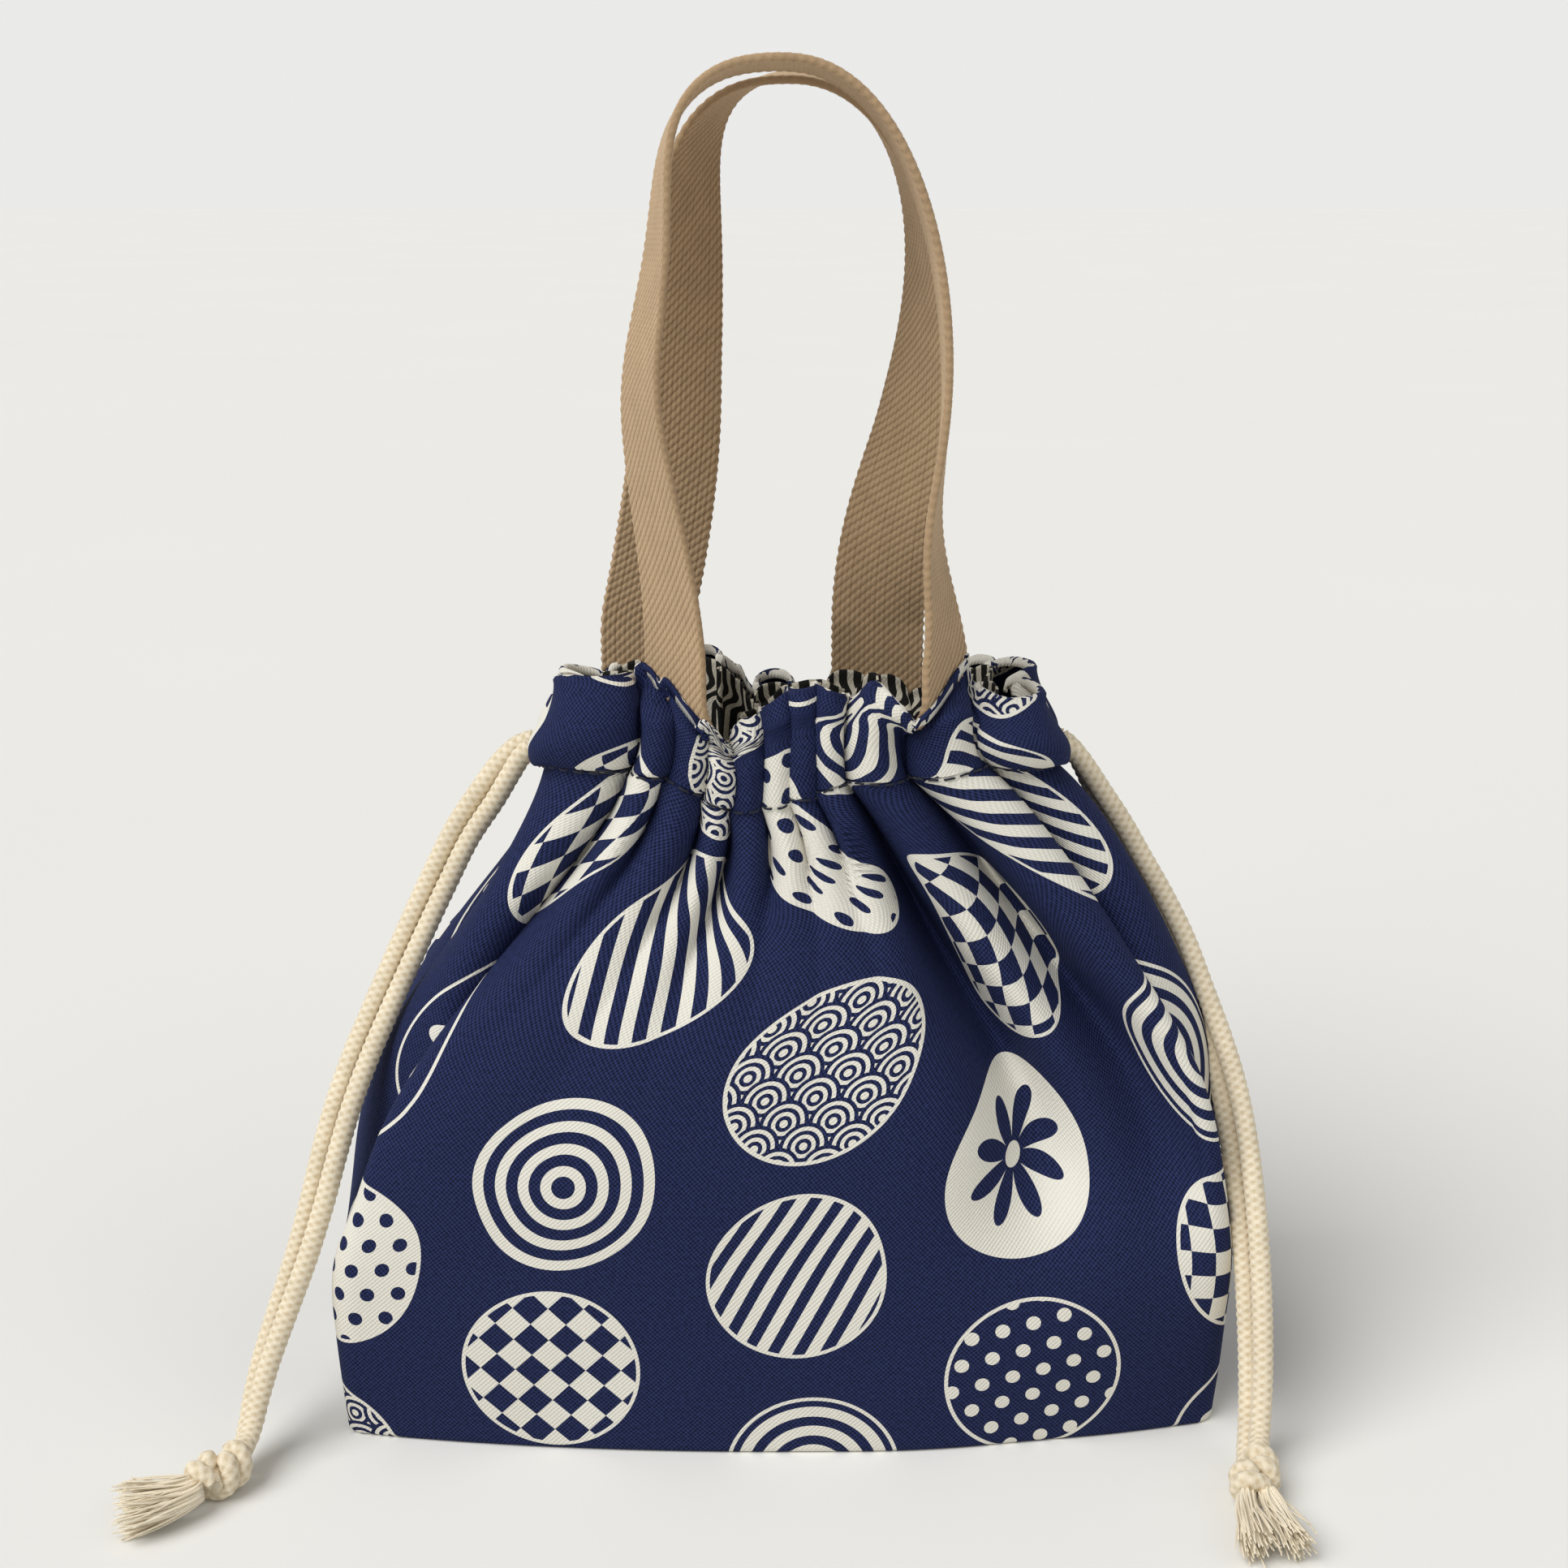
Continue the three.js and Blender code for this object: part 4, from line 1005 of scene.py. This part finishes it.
class BAG_OT_drawcords(bpy.types.Operator):
    """Makes both drawcords: free strands, knots, tassels, and the loops inside the casing"""

    bl_idname = "bag.drawcords"
    bl_label = "Drawcords"

    def execute(self, context):
        sizes = context.scene.cord_sizes
        colours = context.scene.bag_colours
        braided = yarn_material("braided cotton cord", colours.cord, colours.cord_groove, 0.88)
        radius = sizes.diameter / 2
        for name, (route, lay, knot_way, tassel_way, height) in DRAWCORDS.items():
            body = f"{name}_drawcord"
            end = np.array(route[-1], float) * MM
            end_height = route[0][2] * MM
            knot_start = end + unit(knot_way) * 0.3 * MM
            wraps = knot_lines(knot_start, knot_way, sizes)
            pulled_tight = 0.88
            wound = [cord_rings(line, pulled_tight * radius, 26, braid_lift) for line in wraps]
            tassel_start = knot_start + unit(knot_way) * (sizes.knot_length - 1.5 * MM)
            yarns = tassel_lines(tassel_start, knot_way, tassel_way, sizes, seed=len(name))
            frayed = []
            for number, yarn in enumerate(yarns):
                rings, heights = cord_rings(yarn, np.linspace(0.38, 0.2, len(yarn)) * MM, 5)
                tone = 0.55 + 0.3 * (number % 3) / 2
                frayed.append((rings, np.full_like(heights, tone)))
            for part, pairs in (("knot", wound), ("tassel", frayed)):
                rings, heights = zip(*pairs)
                piece = build_mesh(f"{name}_{part}", rings, braided, wrapped=True, heights=heights)
                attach(piece, body)
                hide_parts(f"{body}_{part}")
            for which in ("front", "back"):
                line = strand_line(route, lay, which, sizes)
                rings, raised = cord_rings(line, radius, 30, braid_lift)
                title = f"{name}_{which}_strand"
                strand = build_mesh(title, [rings], braided, wrapped=True, heights=[raised])
                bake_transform(strand)
                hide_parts(f"{body}_{which}_strand")
            self.casing_loop(context, name, height * MM, end_height, braided)
        return {"FINISHED"}

    def casing_loop(self, context, name, height, end_height, braided):
        """The cord inside the casing: in at one slit, round the whole mouth, and out again."""
        sizes = context.scene.cord_sizes
        bag = context.scene.bag_sizes
        flip = 1 if name == "left" else -1
        section = body_section(bag.stitch_height, bag)
        inward, slit_reach, least_rise = 1.8 * MM, 12.3 * MM, 4 * MM
        strand = (sizes.diameter + sizes.pair_gap) / 2
        fraction = np.linspace(0.075, 1, 60)
        x, y, nx, ny, _ = half_outline(section, 0.0, fraction)
        exit_x = -section[0] - slit_reach
        ends = [(exit_x, -strand), (exit_x + 4.5 * MM, -strand - 1.2 * MM)]
        front = np.vstack([ends, np.stack([x - nx * inward, y - ny * inward], axis=1)])
        loop = np.vstack([front, (front * (1, -1))[-2::-1]])
        leaving = np.array([1, 0.7]) * (end_height - height)
        rises = []
        for side in ("front", "back"):
            rise, _ = stitch_line(fraction * Gathers.mouth_half, side)
            rise = np.minimum(rise, 0) + np.maximum(rise - least_rise, 0)
            rises.append(np.concatenate([leaving, rise[::flip]]))
        up = height + np.concatenate([rises[0], rises[1][-2::-1]])
        points = np.column_stack([bag.neck_shift + flip * loop[:, 0], loop[:, 1], up])
        line = smooth_line(points, 0.9 * MM)
        rings, raised = cord_rings(line, sizes.diameter / 2, 20, braid_lift)
        piece = build_mesh(f"{name}_casing_cord", [rings], braided, wrapped=True, heights=[raised])
        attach(piece, "bag")
        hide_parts(f"{name}_drawcord_casing_run")


def stitch_run(grid, row, every, long, thick):
    """Small thread stitches along one row of a cloth grid, lying on its surface."""
    line = grid[row]
    up = np.gradient(grid, axis=0)[row]
    out = unit(np.cross(np.gradient(line, axis=0), up))
    if grid[:, :, 1].mean() > 0:
        out = -out
    run = run_along(line)
    grids = []
    for start in np.arange(2 * MM, run[-1] - long, every):
        at = start + np.linspace(0, long, 9)
        lift = 0.35 * MM * np.sin(np.linspace(0, math.pi, 9)) - 0.05 * MM
        points = points_at(at, run, line) + points_at(at, run, out) * lift[:, None]
        grids.append(cord_rings(points, thick, 6)[0])
    return grids


class BAG_OT_cloth(bpy.types.Operator):
    """Makes the gathered canvas panels, the lining panels and the casing stitches"""

    bl_idname = "bag.cloth"
    bl_label = "Cloth"

    def execute(self, context):
        sizes = context.scene.bag_sizes
        colours = context.scene.bag_colours
        canvas = canvas_material(colours, sizes)
        striped = lining_material(colours)
        thread = yarn_material("sewing thread", colours.thread, colours.thread, 0.6)
        for side in ("front", "back"):
            grid, flat = ClothPanel(side, "outer", sizes, 400).laid()
            outer = build_mesh(f"canvas_{side}", [grid], canvas, flat=[flat], flipped=side == "back")
            apply_modifier(outer, "WELD", merge_threshold=1e-6)
            apply_modifier(outer, "SOLIDIFY", thickness=sizes.outer_cloth, offset=-1)
            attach(outer, "bag")
            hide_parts(f"outer_{side}_panel")
            base, wall, _ = panel_rows(sizes)
            stitch_row = len(base) + len(wall) + 1
            run = stitch_run(grid, stitch_row, every=4.2 * MM, long=2.7 * MM, thick=0.3 * MM)
            stitches = build_mesh(f"casing_stitches_{side}", run, thread, wrapped=True)
            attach(stitches, "bag")
            grid, flat = ClothPanel(side, "lining", sizes, 300).laid()
            lining = build_mesh(f"lining_{side}", [grid], striped, flat=[flat], flipped=side == "front")
            apply_modifier(lining, "WELD", merge_threshold=1e-6)
            apply_modifier(lining, "SOLIDIFY", thickness=sizes.lining_cloth, offset=1)
            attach(lining, "bag")
            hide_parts(f"lining_{side}_panel")
        return {"FINISHED"}


def handle_frames(side, sizes):
    """Middle line of a handle from one sewn end to the other, with its width and thickness directions."""
    loop_width, loop_middle, drop, left, right = HANDLES[side]
    reach = loop_width * MM / 2
    middle = loop_middle * MM
    rise = sizes.loop_top - drop * MM - sizes.hinge_height
    widest = sizes.loop_widest - sizes.hinge_height
    sewn_in = sizes.front_sewn_in if side == "front" else sizes.back_sewn_in
    waist_height, waist_length = 33 * MM, 18 * MM

    def place(sign, edge_x, edge_h, out_x, out_h):
        foot, twist_power, foot_twist, sweep_height, ease, waist, *_ = left if sign < 0 else right
        foot_twist = math.radians(foot_twist) * foot_turn(sizes.hinge_height + edge_h)
        turned = np.clip(edge_h / rise, 0, 1)
        twist = foot_twist + (math.pi / 2 - foot_twist) * (1 - (1 - turned) ** twist_power)
        inset = sizes.width / 2 * np.cos(twist) + sizes.thickness / 2 * np.sin(twist)
        sweep = smooth_step(edge_h / (sweep_height * MM)) ** ease
        shift = (foot * MM - middle - sign * (reach - inset)) * (1 - sweep)
        shift = shift - sign * waist * MM * np.exp(-((edge_h - waist_height) / waist_length) ** 2)
        return np.stack([middle + edge_x - out_x * inset + shift, edge_h - out_h * inset, twist], axis=-1)

    def arch(sign, angle):
        lean, roundness = (left if sign < 0 else right)[-2:]
        x = np.abs(np.cos(angle)) ** (2 / roundness)
        h = np.sin(angle) ** (2 / roundness)
        slope = (sign * x ** (roundness - 1) / reach, h ** (roundness - 1) / (rise - widest))
        out = unit(np.stack(slope, axis=-1)).T
        edge = reach * x - lean * MM * np.sin(math.pi * h) ** 2
        return place(sign, sign * edge, widest + (rise - widest) * h, *out)

    leg_heights = np.linspace(-sewn_in, widest, 90, endpoint=False)
    quarter = np.linspace(0, math.pi / 2, 121)
    halves = []
    for sign in (-1, 1):
        leg = place(sign, sign * reach, leg_heights, sign, 0.0)
        halves.append(np.vstack([leg, arch(sign, quarter)]))
    line = np.vstack([halves[0], halves[1][-2::-1]])

    top_depth = (sizes.width + 0.3 * MM) / 2
    lean = unit((0, sizes.plane_depth - top_depth, rise))
    across = np.array([1.0, 0, 0])
    forward = np.cross(across, lean)
    foot = np.array([0, -sizes.plane_depth, sizes.hinge_height])
    up = np.where(line[:, 1:2] < 0, np.array([0, 0, 1.0]), lean)
    centre = foot + line[:, 0:1] * across + line[:, 1:2] * up
    run = run_along(centre)
    at = np.linspace(0, run[-1], int(run[-1] / (0.6 * MM)))
    centre = points_at(at, run, centre)
    twist = np.interp(at, run, line[:, 2])
    reach_of_smoothing = 7
    window = 2 * reach_of_smoothing + 1
    for k in range(3):
        inner = slice(reach_of_smoothing, -reach_of_smoothing)
        centre[inner, k] = np.convolve(centre[:, k], np.ones(window) / window, "valid")
    tangent = tangents_of(centre)
    inward = np.cross(tangent, forward)
    wide = inward * np.cos(twist)[:, None] + forward * np.sin(twist)[:, None]
    thick = np.cross(tangent, wide)
    return at, centre, wide, thick


def webbing_rings(side, sizes):
    """Rings of a webbing strap: raised warp ribs in slanting bricks, and scalloped selvages."""
    at, centre, wide, thick = handle_frames(side, sizes)
    half = sizes.width / 2
    body = sizes.thickness / 2
    reach = half - 0.5 * MM
    u = np.linspace(-reach, reach, 83)
    rib = (u + half) / sizes.rib
    part = rib - np.floor(rib)
    across_rib = 0.4 + 0.6 * np.sin(math.pi * part) ** 0.6
    edge_turn = np.linspace(0, math.pi, 5)[1:-1]
    edge_out, edge_up = np.sin(edge_turn), body * np.cos(edge_turn)
    edge_height = np.full(len(edge_turn), 0.5)
    rings = []
    heights = []
    for i, along in enumerate(at):
        scallop = 0.22 * MM * np.cos(2 * math.pi * along / sizes.brick)
        brick = along / sizes.brick - 0.5 * np.floor(rib) - 0.45 * part
        stitch = brick - np.floor(brick)
        height = across_rib * (0.15 + 0.85 * np.sin(math.pi * stitch) ** 0.7)
        face = np.stack([u, body + 0.5 * MM * (height - 0.75), height], axis=1)
        right = np.stack([reach + (0.55 * MM + scallop) * edge_out, edge_up, edge_height], axis=1)
        left = np.stack([-reach - (0.55 * MM - scallop) * edge_out, -edge_up, edge_height], axis=1)
        ring = np.vstack([face, right, face[::-1] * (1, -1, 1), left])
        rings.append(centre[i] + ring[:, 0:1] * wide[i] + ring[:, 1:2] * thick[i])
        heights.append(ring[:, 2])
    grid = np.stack(rings)
    if side == "back":
        grid = grid * (1, -1, 1)
    return grid, np.stack(heights)


class BAG_OT_handles(bpy.types.Operator):
    """Makes the two webbing handles with their sewn-in ends"""

    bl_idname = "bag.handles"
    bl_label = "Handles"

    def execute(self, context):
        sizes = context.scene.handle_sizes
        colours = context.scene.bag_colours
        woven = yarn_material("woven cotton webbing", colours.webbing, colours.webbing_groove, 0.8)
        for side in ("front", "back"):
            grid, heights = webbing_rings(side, sizes)
            strap = build_mesh(
                f"webbing_{side}", [grid], woven, wrapped=True, heights=[heights], flipped=side == "front",
            )
            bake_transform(strap)
            tabs = [f"{side}_handle_{end}_tab" for end in ("left", "right")]
            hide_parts(f"{side}_handle_strap", *tabs)
        return {"FINISHED"}


class BAG_PT_panel(bpy.types.Panel):
    """Lists the pieces of the lunch bag and their sizes and colours"""

    bl_idname = "BAG_PT_panel"
    bl_label = "Lunch Bag"
    bl_space_type = "VIEW_3D"
    bl_region_type = "UI"
    bl_category = "Lunch Bag"

    def draw(self, context):
        for operator in OPERATORS:
            self.layout.operator(operator.bl_idname)
        for group in SETTINGS:
            values = getattr(context.scene, group)
            for name in values.__annotations__:
                self.layout.prop(values, name)


SETTINGS = {
    "bag_sizes": BagSizes, "handle_sizes": HandleSizes, "cord_sizes": CordSizes, "bag_colours": BagColours,
}
OPERATORS = (BAG_OT_stage, BAG_OT_drawcords, BAG_OT_cloth, BAG_OT_handles)
CLASSES = (*SETTINGS.values(), *OPERATORS, BAG_PT_panel)


def register():
    """Registers the classes and the scene's settings."""
    for cls in CLASSES:
        bpy.utils.register_class(cls)
    for name, group in SETTINGS.items():
        setattr(bpy.types.Scene, name, bpy.props.PointerProperty(type=group))


def unregister():
    """Removes the scene's settings and the classes."""
    for name in SETTINGS:
        delattr(bpy.types.Scene, name)
    for cls in reversed(CLASSES):
        bpy.utils.unregister_class(cls)


def main():
    """Builds the whole bag."""
    register()
    bpy.ops.bag.stage()
    bpy.ops.bag.drawcords()
    bpy.ops.bag.cloth()
    bpy.ops.bag.handles()


if __name__ == "__main__":
    main()
